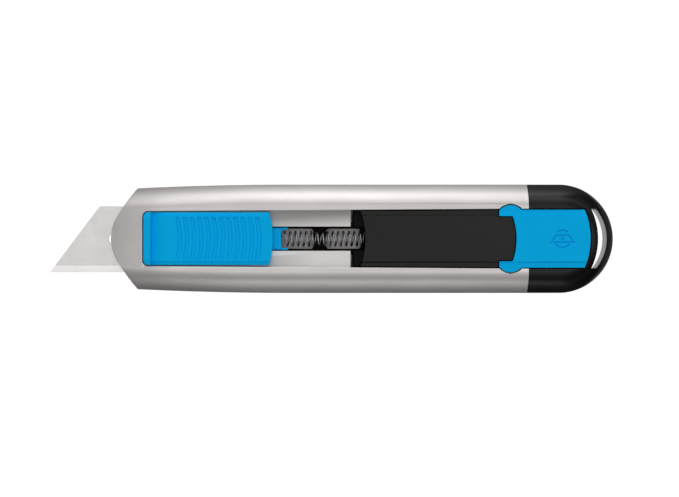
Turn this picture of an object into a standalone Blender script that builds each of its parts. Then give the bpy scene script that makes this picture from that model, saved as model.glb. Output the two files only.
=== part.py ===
"""Spring-back utility knife: aluminium housing, thumb slider with a trapezoid blade, latched insert.

Metres, +Z up. The knife lies on its flat back. X runs along its length with the blade tip at -X,
the cutting edge is at -Y, and the face with the thumb slider is up. The origin is the middle of the
bottom of the whole knife, blade included. The slider is in its front position, with the blade out.
"""
import math

import bmesh
import bpy

MM = 0.001
GAP = 0.3 * MM                      # clearance between neighbouring pieces
OVERRUN = 1.0 * MM                  # how far a cutting shape runs past what it cuts
SHARP_ANGLE = math.radians(30)      # faces that meet at less than this are shaded as one surface
SIDES = ((1, "upper"), (-1, "lower"))

# Overall size
HALF_LENGTH = 81.0 * MM             # blade tip to origin, and origin to the rear of the cap
HALF_WIDTH = 15.6 * MM
THICKNESS = 17.0 * MM
MID_Z = THICKNESS / 2
BACK_ROUND = 5.3 * MM               # plan width of the rounding from the sides to the back
SHOULDER = 6.2 * MM                 # plan width of the shoulder from the sides to the face
SHOULDER_POWER = 1.75               # 2 and 2 would make the shoulder an ellipse
SHOULDER_RISE = 1.25
ROUND_STEPS = 7

# Housing
HOUSING_REAR = 56.2 * MM
TAPER_START = -11.8 * MM            # ahead of this the housing narrows towards the nose
TAPER_LENGTH = 40.3 * MM
TAPER_DEPTH = 0.9 * MM
NOSE_TIP = -62.9 * MM
NOSE_RADIUS = 12.0 * MM
NOSE_FLANK_ANGLE = math.radians(33)
NOSE_SLOPE_START = -46.0 * MM       # ahead of this both faces slope towards the nose
NOSE_SLOPE_DROP = 2.2 * MM
TAPER_STATIONS = 15

# Recess for the slider and the insert, in the housing's face
RECESS_FRONT = -53.8 * MM
RECESS_HALF_FRONT = 7.8 * MM
RECESS_HALF_REAR = 8.5 * MM
RECESS_CORNER = 1.6 * MM
FLOOR_TOP = 14.4 * MM
FLOOR_UNDER = 12.8 * MM
FLOOR_END = 5.5 * MM                # behind this the face is open down to the insert
SLOT_HALF = 3.45 * MM
SLOT_FRONT = -49.4 * MM

# Hollow inside the housing
HOLLOW_FRONT = -54.3 * MM
HOLLOW_BOTTOM = 1.8 * MM
HOLLOW_HALF = 13.6 * MM
HOLLOW_ROUND = 3.6 * MM
POCKET_FRONT = -57.4 * MM           # narrower space in the nose, for the front of the blade carrier
POCKET_HALF = 9.95 * MM
POCKET_BOTTOM = 4.4 * MM
POCKET_TOP = 12.4 * MM
SLIT_HALF_HEIGHT = 0.7 * MM
RAIL_OUTER = 12.7 * MM

# Blade
BLADE_Z = 8.3 * MM
BLADE_THICKNESS = 0.63 * MM
BLADE_LENGTH = 53.0 * MM
BLADE_EDGE_Y = -9.6 * MM
BLADE_EDGE_THICKNESS = 0.04 * MM
BLADE_SPINE_Y = 9.35 * MM
BLADE_GRIND_Y = -7.75 * MM
BLADE_SLANT = 14.3 * MM             # how much shorter the spine is at each end
BLADE_HOLE_RADIUS = 1.6 * MM
BLADE_HOLE_PITCH = 8.1 * MM
BLADE_REAR = BLADE_LENGTH - HALF_LENGTH
BLADE_CENTRE = BLADE_LENGTH / 2 - HALF_LENGTH

# Thumb slider
TRAVEL = 25.0 * MM
SLIDER_FRONT = -53.1 * MM
SLIDER_REAR = -16.65 * MM
SLIDER_REAR_RADIUS = 24.8 * MM
SLIDER_HALF = 7.35 * MM
SLIDER_CORNER = 1.4 * MM
SLIDER_BOTTOM = 14.7 * MM
SLIDER_TOP = 17.7 * MM
LIP_TOP = 18.4 * MM
LIP_REAR = -51.4 * MM
LIP_FALL = 0.4 * MM                 # length of the step down behind the lip
DISH_BOTTOM = 17.0 * MM
DISH_REAR = -46.5 * MM
CREASE_Y = 6.35 * MM                # where a flat top turns down to its long edges
CREASE_DROP = 0.45 * MM
RIB_COUNT = 12
RIB_PITCH = 2.055 * MM
RIB_FIELD_FRONT = -44.1 * MM
RIB_DEPTH = 0.35 * MM
RIB_RADIUS = 24.0 * MM
RIB_HALF = 6.0 * MM

# What the slider carries under the floor
CORE_FRONT = -47.0 * MM
CORE_REAR = -19.5 * MM
CORE_HALF = 7.5 * MM
CORE_BOTTOM = 11.2 * MM
CORE_TOP = 12.5 * MM
STEM_FRONT = -48.6 * MM
STEM_HALF = 3.1 * MM
NECK_REAR = -14.4 * MM
NECK_HALF = 2.95 * MM
NECK_TOP = 14.1 * MM
NECK_BOTTOM = 10.1 * MM
ARM_YS = (2.6 * MM, 3.15 * MM)
ARM_ZS = (12.2 * MM, 13.4 * MM)
ARM_REACH = 1.9 * MM
CARRIER_FRONT = -57.0 * MM
CARRIER_REAR = -19.8 * MM
CARRIER_HALF = 9.5 * MM
CARRIER_BOTTOM = 9.1 * MM
CARRIER_TOP = 10.9 * MM
LUG_YS = (5.5 * MM, 8.0 * MM)
LUG_HALF = 1.6 * MM
LUG_BOTTOM = 5.6 * MM
CLAMP_HALF = 8.6 * MM
CLAMP_BOTTOM = 5.9 * MM
CLAMP_TOP = 7.6 * MM
CLAMP_HINGE_X = -24.6 * MM
CLAMP_HINGE_Z = 7.1 * MM
KNUCKLE_RADIUS = 1.5 * MM
KNUCKLE_HALF = 5.2 * MM
HINGE_PIN_RADIUS = 0.7 * MM
BLADE_PIN_RADIUS = 1.3 * MM

# Insert
TRAY_FRONT = -18.5 * MM
TRAY_BOTTOM = 9.0 * MM
TRAY_TOP = 9.7 * MM
TRAY_HALF = 4.6 * MM
DECK_FRONT = 6.0 * MM
DECK_REAR = 55.9 * MM
DECK_TOP = 14.2 * MM
BASE_BOTTOM = 4.6 * MM
BASE_TOP = 10.2 * MM
BASE_HALF = 12.6 * MM
CHANNEL_REAR = 31.5 * MM
WINDOW_HALF = 2.88 * MM
WINDOW_CHAMFER = 0.5 * MM
WINDOWS = ((-16.5 * MM, -5.25 * MM), (-1.5 * MM, 8.3 * MM))
TONGUE_REAR = 68.0 * MM
TONGUE_HALF = 6.0 * MM
TONGUE_TOP = 8.5 * MM
COVER_FRONT = 9.67 * MM
COVER_FRONT_RADIUS = 24.8 * MM
COVER_BOTTOM = 14.5 * MM
COVER_TOP = 17.25 * MM
COVER_TONGUE_HALF = 6.1 * MM
COVER_TONGUE_RADIUS = 19.0 * MM
COVER_CHANNEL_TOP = 15.4 * MM

# Return spring
SPRING_Z = 12.5 * MM
SPRING_RADIUS = 2.0 * MM            # to the middle of the wire
SPRING_WIRE = 0.25 * MM             # radius of the wire
SPRING_TURNS = 26
SPRING_TURN_POINTS = 10
SPRING_FRONT_PIN = -15.6 * MM
SPRING_REAR_PIN = 28.6 * MM
SPRING_HOOK = 0.95 * MM             # radius of the end hooks
SPRING_LEAD = 1.3 * MM              # from a hook to the first turn
SPRING_PIN_RADIUS = 0.4 * MM

# Release key
KEY_FRONT = 47.75 * MM
KEY_REAR = 73.7 * MM
KEY_REAR_RADIUS = 21.7 * MM
KEY_HALF = 8.25 * MM
KEY_BOTTOM = 14.6 * MM
KEY_TOP = 17.25 * MM
KEY_FORK_HALF = 6.4 * MM
KEY_FORK_REAR = 52.66 * MM          # deepest point of the fork
KEY_LUG_BOTTOM = 12.8 * MM
KEY_LUG_HALF = 7.9 * MM
EAR_X = 51.0 * MM
EAR_Y = 5.48 * MM
EAR_RADIUS = 4.08 * MM
PIVOT_X = 61.3 * MM
PIVOT_Z = 14.9 * MM
PIVOT_RADIUS = 0.8 * MM
PIVOT_HALF = 10.2 * MM
LEAF_HALF = 2.2 * MM
LEAF_THICKNESS = 0.3 * MM
LEAF_PATH = ((64.4 * MM, 11.8 * MM), (67.0 * MM, 11.8 * MM), (71.6 * MM, 13.9 * MM), (72.8 * MM, 13.9 * MM))

# End cap
CAP_FRONT = HOUSING_REAR + GAP
CAP_CENTRE = HALF_LENGTH - HALF_WIDTH
CAP_ARC_STEPS = 24
KEY_WELL_BOTTOM = 11.5 * MM
KEY_WELL_HALF = KEY_HALF + GAP
WEB_REAR = 75.9 * MM                # front wall of the lanyard slot
WEB_RADIUS = 20.8 * MM
SLOT_END_Y = 8.15 * MM              # half length of the lanyard slot
BAR_INNER = 13.3 * MM
BAR_TURN = math.radians(40)
BAR_THINNING = 0.93                 # the bar is a little thinner than the cap
BAR_PEG_X = 76.5 * MM
BAR_PEG_RADIUS = 0.55 * MM
BAR_PEG_YS = (8.0 * MM, 9.4 * MM)
SCREW_XS = {"front": 60.2 * MM, "rear": 65.8 * MM}
SCREW_HEAD_Z = 0.4 * MM
SCREW_END_Z = 7.0 * MM
SCREW_HEAD_RADIUS = 2.0 * MM
SCREW_RADIUS = 1.0 * MM
SCREW_SOCKET_RADIUS = 0.85 * MM


def clear_scene():
    for old in list(bpy.data.objects):
        bpy.data.objects.remove(old, do_unlink=True)


def make_material(name, colour, roughness, metallic):
    material = bpy.data.materials.new(name)
    material.use_nodes = True
    shader = material.node_tree.nodes["Principled BSDF"]
    shader.inputs["Base Color"].default_value = (*colour, 1.0)
    shader.inputs["Roughness"].default_value = roughness
    shader.inputs["Metallic"].default_value = metallic
    material.diffuse_color = (*colour, 1.0)
    return material


def aluminium(name):
    return make_material(name, (0.62, 0.60, 0.59), 0.35, 1.0)


def steel(name):
    return make_material(name, (0.66, 0.66, 0.67), 0.25, 1.0)


def blue_plastic(name):
    return make_material(name, (0.0, 0.34, 0.70), 0.45, 0.0)


def black_plastic(name):
    return make_material(name, (0.025, 0.023, 0.023), 0.45, 0.0)


# Shapes -------------------------------------------------------------------------------------------

def to_object(name, shape, material=None, origin=(0.0, 0.0, 0.0)):
    """Make an object of a bmesh in world coordinates. With no material it is a hidden cutting shape."""
    bmesh.ops.recalc_face_normals(shape, faces=shape.faces)
    bmesh.ops.translate(shape, verts=shape.verts, vec=[-value for value in origin])
    mesh = bpy.data.meshes.new(name)
    shape.to_mesh(mesh)
    shape.free()
    piece = bpy.data.objects.new(name, mesh)
    piece.location = origin
    bpy.context.scene.collection.objects.link(piece)
    if material:
        mesh.materials.append(material)
        mesh.shade_smooth()
        mesh.set_sharp_from_angle(angle=SHARP_ANGLE)
    else:
        piece.hide_render = True
        piece.display_type = "WIRE"
    return piece


def loft(loops):
    """Close a skin over loops of points that all have the same count, with flat ends."""
    shape = bmesh.new()
    rings = [[shape.verts.new(point) for point in loop] for loop in loops]
    count = len(rings[0])
    sides = []
    for near, far in zip(rings, rings[1:]):
        for i in range(count):
            j = (i + 1) % count
            sides.append(shape.faces.new((near[i], near[j], far[j], far[i])))
    bmesh.ops.triangulate(shape, faces=sides)
    shape.faces.new(rings[0])
    shape.faces.new(rings[-1])
    return shape


def prism(outline, bottom, top):
    """Extrude an outline of (x, y) points from one height to another."""
    return loft([[(x, y, z) for x, y in outline] for z in (bottom, top)])


def joined(shapes):
    """Put several shapes that don't touch into one."""
    whole = bmesh.new()
    for shape in shapes:
        mesh = bpy.data.meshes.new("joined")
        shape.to_mesh(mesh)
        shape.free()
        whole.from_mesh(mesh)
        bpy.data.meshes.remove(mesh)
    return whole


def box(xs, ys, zs):
    """A box between pairs of limits."""
    return prism([(xs[0], ys[0]), (xs[1], ys[0]), (xs[1], ys[1]), (xs[0], ys[1])], *zs)


def across(half):
    """Limits that reach the same distance to both sides of the middle plane."""
    return (-half, half)


def beside(side, limits):
    """Limits on one side of the middle plane, given as distances from it."""
    return sorted(side * value for value in limits)


def turned(centre, profile, axis, segments):
    """Turn (distance along the axis, radius) pairs about an axis through the centre."""
    loops = []
    for along, radius in profile:
        loop = []
        for i in range(segments):
            angle = 2 * math.pi * i / segments
            u, v = radius * math.cos(angle), radius * math.sin(angle)
            offset = {"Y": (v, along, u), "Z": (u, v, along)}[axis]
            loop.append([centre[k] + offset[k] for k in range(3)])
        loops.append(loop)
    return loft(loops)


def rod(centre, radius, length, axis, segments=16):
    """A cylinder about a centre, along Y or Z."""
    return turned(centre, [(-length / 2, radius), (length / 2, radius)], axis, segments)


def upright(x, radius, bottom, top, segments=16):
    """A cylinder along Z on the middle plane."""
    return rod((x, 0.0, (bottom + top) / 2), radius, top - bottom, "Z", segments)


def crossways(x, z, radius, half, segments=16):
    """A cylinder along Y, the same length to both sides."""
    return rod((x, 0.0, z), radius, 2 * half, "Y", segments)


def arc(cx, cy, radius, start, end, steps):
    """Points on a circle between two angles in degrees."""
    angles = [math.radians(start + (end - start) * i / steps) for i in range(steps + 1)]
    return [(cx + radius * math.cos(a), cy + radius * math.sin(a)) for a in angles]


def bow(x_mid, radius, half, steps=10):
    """Points on an arc across the knife, from -half to +half, bulging to +X at the middle."""
    span = math.degrees(math.asin(half / radius))
    return arc(x_mid - radius, 0.0, radius, -span, span, steps)


def mirrored(half_outline):
    """Complete an outline whose +Y half is given from front to rear."""
    return half_outline + [(x, -y) for x, y in reversed(half_outline)]


def boolean(piece, shape, label, operation):
    step = piece.modifiers.new(label, "BOOLEAN")
    step.operation = operation
    step.solver = "EXACT"
    step.object = to_object(piece.name + "_" + label, shape)


def cut(piece, shape, label):
    boolean(piece, shape, label, "DIFFERENCE")


def add(piece, shape, label):
    boolean(piece, shape, label, "UNION")


def keep(piece, shape, label):
    boolean(piece, shape, label, "INTERSECT")


def attach(piece, parent):
    """Parent a piece to an empty that is only moved, keeping the piece where it is."""
    piece.parent = parent
    piece.location = piece.location - parent.location
    return piece


def rounded_section(x, half_width, round_width, mid_z, half_thickness, steps):
    """A cross-section at x: flat front and back, and half ellipses for its two sides."""
    right = []
    for i in range(steps + 1):
        angle = math.pi * (i / steps - 0.5)
        y = half_width - round_width + round_width * math.cos(angle)
        right.append((x, y, mid_z + half_thickness * math.sin(angle)))
    return right + [(x, -y, z) for x, y, z in reversed(right)]


def edge_profile(half_width, half_thickness):
    """Round one long edge from back to face, as (distance from the middle, height) pairs."""
    quarter = [math.pi / 2 * i / ROUND_STEPS for i in range(ROUND_STEPS + 1)]
    points = []
    for angle in reversed(quarter):
        reach = half_width - BACK_ROUND + BACK_ROUND * math.cos(angle)
        points.append((reach, MID_Z - half_thickness * math.sin(angle)))
    for angle in quarter[1:]:
        reach = half_width - SHOULDER + SHOULDER * math.cos(angle) ** (2 / SHOULDER_POWER)
        points.append((reach, MID_Z + half_thickness * math.sin(angle) ** (2 / SHOULDER_RISE)))
    return points


def crowned_section(x, half, bottom, edge_top, top):
    """A cross-section of a plate: a flat middle, and long edges that fall away from a crease."""
    right = [(x, half, bottom), (x, half, edge_top), (x, CREASE_Y, top)]
    return right + [(x, -y, z) for x, y, z in reversed(right)]


def recess_half_width(x):
    share = (x - RECESS_FRONT) / (HOUSING_REAR - RECESS_FRONT)
    return RECESS_HALF_FRONT + (RECESS_HALF_REAR - RECESS_HALF_FRONT) * share


def ear_outline(grow):
    """The +Y bulge of a key ear, front to rear, grown outwards for its notch."""
    radius = EAR_RADIUS + grow
    start = math.degrees(math.acos((KEY_FRONT - grow - EAR_X) / radius))
    end = math.degrees(math.asin((KEY_HALF + grow - EAR_Y) / radius))
    return arc(EAR_X, EAR_Y, radius, start, end, 8)


# Housing ------------------------------------------------------------------------------------------

def housing_half_width(x):
    ahead = max(0.0, TAPER_START - x) / TAPER_LENGTH
    return HALF_WIDTH - TAPER_DEPTH * ahead ** 2


def housing_half_thickness(x):
    ahead = max(0.0, NOSE_SLOPE_START - x) / (NOSE_SLOPE_START - NOSE_TIP)
    return MID_Z - NOSE_SLOPE_DROP * ahead ** 2


def nose_outline():
    """The housing in plan: a round tip, two straight flanks, and square behind."""
    turn = math.degrees(NOSE_FLANK_ANGLE)
    tip = arc(NOSE_TIP + NOSE_RADIUS, 0.0, NOSE_RADIUS, 180, 180 - turn, 6)
    flank_x, flank_y = tip[-1]
    outer_y = HALF_WIDTH + OVERRUN
    outer_x = flank_x + (outer_y - flank_y) * math.tan(NOSE_FLANK_ANGLE)
    half = tip + [(outer_x, outer_y), (HOUSING_REAR + OVERRUN, outer_y)]
    return half + [(x, -y) for x, y in reversed(half[1:])]


def make_housing():
    nose_x = NOSE_TIP - OVERRUN
    xs = [nose_x + (TAPER_START - nose_x) * i / (TAPER_STATIONS - 1) for i in range(TAPER_STATIONS)]
    loops = []
    for x in xs + [HOUSING_REAR]:
        right = [(x, y, z) for y, z in edge_profile(housing_half_width(x), housing_half_thickness(x))]
        loops.append(right + [(x, -y, z) for x, y, z in reversed(right)])
    housing = to_object("housing_shell", loft(loops), aluminium("satin_aluminium"))
    keep(housing, prism(nose_outline(), -OVERRUN, THICKNESS + OVERRUN), "nose")
    cut_hollow(housing)
    cut_recess(housing)


def cut_hollow(housing):
    """The space inside, open at the rear, with a narrower pocket and the blade slit in the nose."""
    mid_z = (HOLLOW_BOTTOM + FLOOR_UNDER) / 2
    half_height = (FLOOR_UNDER - HOLLOW_BOTTOM) / 2
    loops = []
    for x in (HOLLOW_FRONT, HOUSING_REAR + OVERRUN):
        loops.append(rounded_section(x, HOLLOW_HALF, HOLLOW_ROUND, mid_z, half_height, 6))
    cut(housing, loft(loops), "hollow")
    pocket_xs = (POCKET_FRONT, HOLLOW_FRONT + OVERRUN)
    cut(housing, box(pocket_xs, across(POCKET_HALF), (POCKET_BOTTOM, POCKET_TOP)), "pocket")
    slit_xs = (NOSE_TIP - OVERRUN, POCKET_FRONT + OVERRUN)
    slit_zs = (BLADE_Z - SLIT_HALF_HEIGHT, BLADE_Z + SLIT_HALF_HEIGHT)
    cut(housing, box(slit_xs, across(POCKET_HALF), slit_zs), "slit")


def cut_recess(housing):
    """The recess in the face, the opening behind its floor, the spring slot and the key's notches."""
    rear_x = HOUSING_REAR + OVERRUN
    corner_y = RECESS_HALF_FRONT - RECESS_CORNER
    corner = arc(RECESS_FRONT + RECESS_CORNER, corner_y, RECESS_CORNER, 180, 90, 5)
    outline = mirrored(corner + [(rear_x, recess_half_width(rear_x))])
    cut(housing, prism(outline, FLOOR_TOP, THICKNESS + OVERRUN), "recess")
    opening = mirrored([(x, recess_half_width(x)) for x in (FLOOR_END, rear_x)])
    cut(housing, prism(opening, FLOOR_UNDER - OVERRUN, FLOOR_TOP + OVERRUN), "opening")
    slot_zs = (FLOOR_UNDER - OVERRUN, FLOOR_TOP + OVERRUN)
    cut(housing, box((SLOT_FRONT, FLOOR_END + OVERRUN), across(SLOT_HALF), slot_zs), "slot")
    notch = ear_outline(GAP)
    inner_y = recess_half_width(EAR_X) - OVERRUN
    outline = [(notch[0][0], inner_y)] + notch + [(notch[-1][0], inner_y)]
    for side, label in SIDES:
        flipped = [(x, side * y) for x, y in outline]
        cut(housing, prism(flipped, FLOOR_TOP, THICKNESS + OVERRUN), "notch_" + label)


def make_guide_rails():
    for side, label in SIDES:
        xs = (HOLLOW_FRONT + GAP, DECK_FRONT - GAP)
        shape = box(xs, beside(side, (POCKET_HALF, RAIL_OUTER)), (BASE_BOTTOM, BASE_TOP))
        to_object("guide_rail_" + label, shape, black_plastic("rail_plastic_" + label))


# Insert -------------------------------------------------------------------------------------------

def make_chassis():
    """A wide base inside the housing, a deck up to the face, a thin tray ahead and a tongue behind."""
    base = box((DECK_FRONT, DECK_REAR), across(BASE_HALF), (BASE_BOTTOM, BASE_TOP))
    chassis = to_object("insert_chassis", base, black_plastic("chassis_plastic"))
    inset = 0.4 * MM
    deck_half = recess_half_width(DECK_FRONT) - inset
    deck_xs = (DECK_FRONT + inset, DECK_REAR - inset)
    add(chassis, box(deck_xs, across(deck_half), (BASE_TOP - OVERRUN, DECK_TOP)), "deck")
    tray_xs = (TRAY_FRONT, CHANNEL_REAR + OVERRUN)
    add(chassis, box(tray_xs, across(TRAY_HALF), (TRAY_BOTTOM, TRAY_TOP)), "tray")
    tongue_xs = (DECK_REAR - OVERRUN, TONGUE_REAR)
    add(chassis, box(tongue_xs, across(TONGUE_HALF), (BASE_BOTTOM, TONGUE_TOP)), "tongue")
    channel_xs = (DECK_FRONT - OVERRUN, CHANNEL_REAR)
    cut(chassis, box(channel_xs, across(SLOT_HALF), (TRAY_TOP, DECK_TOP + OVERRUN)), "channel")
    for i, (front, rear) in enumerate(WINDOWS):
        outline = mirrored([
            (front, WINDOW_HALF - WINDOW_CHAMFER),
            (front + WINDOW_CHAMFER, WINDOW_HALF),
            (rear - WINDOW_CHAMFER, WINDOW_HALF),
            (rear, WINDOW_HALF - WINDOW_CHAMFER),
        ])
        cut(chassis, prism(outline, BASE_BOTTOM - OVERRUN, TRAY_TOP + OVERRUN), "window_" + str(i))
    pin_hole = upright(SPRING_REAR_PIN, SPRING_PIN_RADIUS + GAP, 7.0 * MM, TRAY_TOP + OVERRUN)
    cut(chassis, pin_hole, "pin_hole")
    for label, x in SCREW_XS.items():
        hole = upright(x, SCREW_RADIUS + GAP, BASE_BOTTOM - OVERRUN, SCREW_END_Z + GAP)
        cut(chassis, hole, "screw_hole_" + label)


def cover_outline():
    """A hollowed front edge, square shoulders ahead of the key's ears, and a bowed rear tongue."""
    wide = RECESS_HALF_REAR + OVERRUN
    front = bow(COVER_FRONT, COVER_FRONT_RADIUS, wide)
    shoulder = KEY_FRONT - GAP
    tongue = bow(KEY_FORK_REAR - GAP, COVER_TONGUE_RADIUS, COVER_TONGUE_HALF)
    upper = [(shoulder, wide), (shoulder, COVER_TONGUE_HALF)]
    return front + upper + tongue[::-1] + [(x, -y) for x, y in reversed(upper)]


def make_cover():
    loops = []
    for x in (COVER_FRONT - 3 * OVERRUN, KEY_FORK_REAR + OVERRUN):
        half = recess_half_width(x) - GAP
        loops.append(crowned_section(x, half, COVER_BOTTOM, COVER_TOP - CREASE_DROP, COVER_TOP))
    cover = to_object("insert_cover", loft(loops), black_plastic("cover_plastic"))
    keep(cover, prism(cover_outline(), COVER_BOTTOM - OVERRUN, COVER_TOP + OVERRUN), "outline")
    channel_xs = (COVER_FRONT - 4 * OVERRUN, CHANNEL_REAR)
    channel_zs = (COVER_BOTTOM - OVERRUN, COVER_CHANNEL_TOP)
    cut(cover, box(channel_xs, across(SLOT_HALF), channel_zs), "channel")


def make_spring_pin(name, x, bottom, top):
    return to_object(name, upright(x, SPRING_PIN_RADIUS, bottom, top, 12), steel(name + "_steel"))


# Return spring ------------------------------------------------------------------------------------

def hook_points(pin_x, direction):
    """Three quarters of a turn round a pin, starting on its far side from the coil."""
    points = []
    for i in range(7):
        angle = math.radians(45 * i)
        x = pin_x + direction * SPRING_HOOK * math.cos(angle)
        points.append((x, SPRING_HOOK * math.sin(angle), SPRING_Z))
    return points


def make_return_spring():
    front = SPRING_FRONT_PIN + SPRING_HOOK + SPRING_LEAD
    rear = SPRING_REAR_PIN - SPRING_HOOK - SPRING_LEAD
    points = hook_points(SPRING_FRONT_PIN, 1)[::-1]
    last = SPRING_TURNS * SPRING_TURN_POINTS
    for i in range(last + 1):
        angle = 2 * math.pi * i / SPRING_TURN_POINTS
        y, z = SPRING_RADIUS * math.cos(angle), SPRING_Z + SPRING_RADIUS * math.sin(angle)
        points.append((front + (rear - front) * i / last, y, z))
    points += hook_points(SPRING_REAR_PIN, -1)
    curve = bpy.data.curves.new("return_spring", "CURVE")
    curve.dimensions = "3D"
    curve.bevel_depth = SPRING_WIRE
    curve.bevel_resolution = 0
    curve.use_fill_caps = True
    curve.materials.append(steel("spring_steel"))
    wire = curve.splines.new("POLY")
    wire.use_smooth = True
    wire.points.add(len(points) - 1)
    for target, point in zip(wire.points, points):
        target.co = (*point, 1.0)
    bpy.context.scene.collection.objects.link(bpy.data.objects.new("return_spring", curve))


# Slider -------------------------------------------------------------------------------------------

def slider_top(x):
    """Height of the slider's middle line: a raised front lip, a dish behind it, then flat."""
    if x <= LIP_REAR:
        return LIP_TOP
    if x >= DISH_REAR:
        return SLIDER_TOP
    share = (x - LIP_REAR) / (DISH_REAR - LIP_REAR)
    return DISH_BOTTOM + (SLIDER_TOP - DISH_BOTTOM) * math.sin(share * math.pi / 2)


def make_thumb_slider(parent):
    dish_front = LIP_REAR + LIP_FALL
    dish_xs = [dish_front + (DISH_REAR - dish_front) * i / 5 for i in range(6)]
    half = SLIDER_HALF + GAP
    loops = []
    for x in [SLIDER_FRONT - OVERRUN, LIP_REAR] + dish_xs + [SLIDER_REAR + OVERRUN]:
        top = slider_top(x)
        edge_top = min(top, SLIDER_TOP) - CREASE_DROP
        loops.append(crowned_section(x, half, SLIDER_BOTTOM, edge_top, top))
    slider = attach(to_object("thumb_slider", loft(loops), blue_plastic("slider_plastic")), parent)
    corner_y = SLIDER_HALF - SLIDER_CORNER
    corner = arc(SLIDER_FRONT + SLIDER_CORNER, corner_y, SLIDER_CORNER, 180, 90, 5)
    rear = bow(SLIDER_REAR, SLIDER_REAR_RADIUS, SLIDER_HALF)
    outline = corner[::-1] + [(x, -y) for x, y in corner] + rear
    keep(slider, prism(outline, SLIDER_BOTTOM - OVERRUN, LIP_TOP + OVERRUN), "outline")
    grooves = []
    for i in range(RIB_COUNT):
        middle = RIB_FIELD_FRONT + (i + 0.5) * RIB_PITCH
        groove = bow(middle + RIB_PITCH / 4, RIB_RADIUS, RIB_HALF, 6)
        groove += bow(middle - RIB_PITCH / 4, RIB_RADIUS, RIB_HALF, 6)[::-1]
        grooves.append(prism(groove, SLIDER_TOP - RIB_DEPTH, SLIDER_TOP + OVERRUN))
    cut(slider, joined(grooves), "ribs")


def make_slider_core(parent):
    """A flange under the floor, a stem up through the slot, and a neck with two arms behind."""
    flange = box((CORE_FRONT, CORE_REAR), across(CORE_HALF), (CORE_BOTTOM, CORE_TOP))
    core = attach(to_object("slider_core", flange, blue_plastic("core_plastic")), parent)
    neck_front = CARRIER_REAR + 0.4 * MM
    stem_xs = (STEM_FRONT, neck_front + OVERRUN)
    stem_zs = (CORE_TOP - 0.5 * MM, SLIDER_BOTTOM - GAP)
    add(core, box(stem_xs, across(STEM_HALF), stem_zs), "stem")
    add(core, box((neck_front, NECK_REAR), across(NECK_HALF), (NECK_BOTTOM, NECK_TOP)), "neck")
    for side, label in SIDES:
        arm_xs = (CORE_REAR - 0.5 * MM, NECK_REAR + ARM_REACH)
        add(core, box(arm_xs, beside(side, ARM_YS), ARM_ZS), "arm_" + label)
    pocket_half = SPRING_HOOK + 0.65 * MM
    pocket_xs = (SPRING_FRONT_PIN - pocket_half, NECK_REAR + OVERRUN)
    pocket_zs = (SPRING_Z - OVERRUN, SPRING_Z + 0.9 * MM)
    cut(core, box(pocket_xs, across(pocket_half), pocket_zs), "hook_pocket")
    pin_hole = upright(SPRING_FRONT_PIN, SPRING_PIN_RADIUS + GAP, NECK_BOTTOM + 0.2 * MM, 13.95 * MM, 12)
    cut(core, pin_hole, "pin_hole")


def blade_pins():
    return {"front": BLADE_CENTRE, "rear": BLADE_CENTRE + BLADE_HOLE_PITCH}


def make_carrier(parent):
    """The plate over the blade, with lugs for the clamp's hinge and a groove that clears the tray."""
    plate = box((CARRIER_FRONT, CARRIER_REAR), across(CARRIER_HALF), (CARRIER_BOTTOM, CARRIER_TOP))
    carrier = attach(to_object("blade_carrier", plate, black_plastic("carrier_plastic")), parent)
    lug_xs = (CLAMP_HINGE_X - LUG_HALF, CLAMP_HINGE_X + LUG_HALF)
    for side, label in SIDES:
        lug = box(lug_xs, beside(side, LUG_YS), (LUG_BOTTOM, CARRIER_BOTTOM + OVERRUN))
        add(carrier, lug, "lug_" + label)
    relief_xs = (TRAY_FRONT - TRAVEL - 2 * GAP, CARRIER_REAR + OVERRUN)
    relief_zs = (CARRIER_BOTTOM - OVERRUN, TRAY_TOP + GAP)
    cut(carrier, box(relief_xs, across(TRAY_HALF + GAP), relief_zs), "tray_relief")
    hinge = crossways(CLAMP_HINGE_X, CLAMP_HINGE_Z, HINGE_PIN_RADIUS + GAP, CARRIER_HALF + OVERRUN, 12)
    cut(carrier, hinge, "hinge_hole")
    for label, x in blade_pins().items():
        hole = upright(x, BLADE_HOLE_RADIUS, CARRIER_BOTTOM - OVERRUN, CARRIER_TOP - 0.5 * MM)
        cut(carrier, hole, "pin_hole_" + label)


def make_clamp(parent):
    plate = box((CARRIER_FRONT, CLAMP_HINGE_X), across(CLAMP_HALF), (CLAMP_BOTTOM, CLAMP_TOP))
    clamp = attach(to_object("blade_clamp", plate, steel("clamp_steel")), parent)
    shoulder_xs = (CLAMP_HINGE_X - LUG_HALF - 0.4 * MM, CLAMP_HINGE_X + OVERRUN)
    shoulder_zs = (CLAMP_BOTTOM - OVERRUN, CLAMP_TOP + OVERRUN)
    for side, label in SIDES:
        shoulder_ys = beside(side, (KNUCKLE_HALF, CLAMP_HALF + OVERRUN))
        cut(clamp, box(shoulder_xs, shoulder_ys, shoulder_zs), "shoulder_" + label)
    add(clamp, crossways(CLAMP_HINGE_X, CLAMP_HINGE_Z, KNUCKLE_RADIUS, KNUCKLE_HALF), "knuckle")
    hinge = crossways(CLAMP_HINGE_X, CLAMP_HINGE_Z, HINGE_PIN_RADIUS + GAP, KNUCKLE_HALF + OVERRUN, 12)
    cut(clamp, hinge, "hinge_hole")
    for label, x in blade_pins().items():
        hole = upright(x, BLADE_HOLE_RADIUS, CLAMP_BOTTOM - OVERRUN, CLAMP_TOP + OVERRUN)
        cut(clamp, hole, "pin_hole_" + label)


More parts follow.
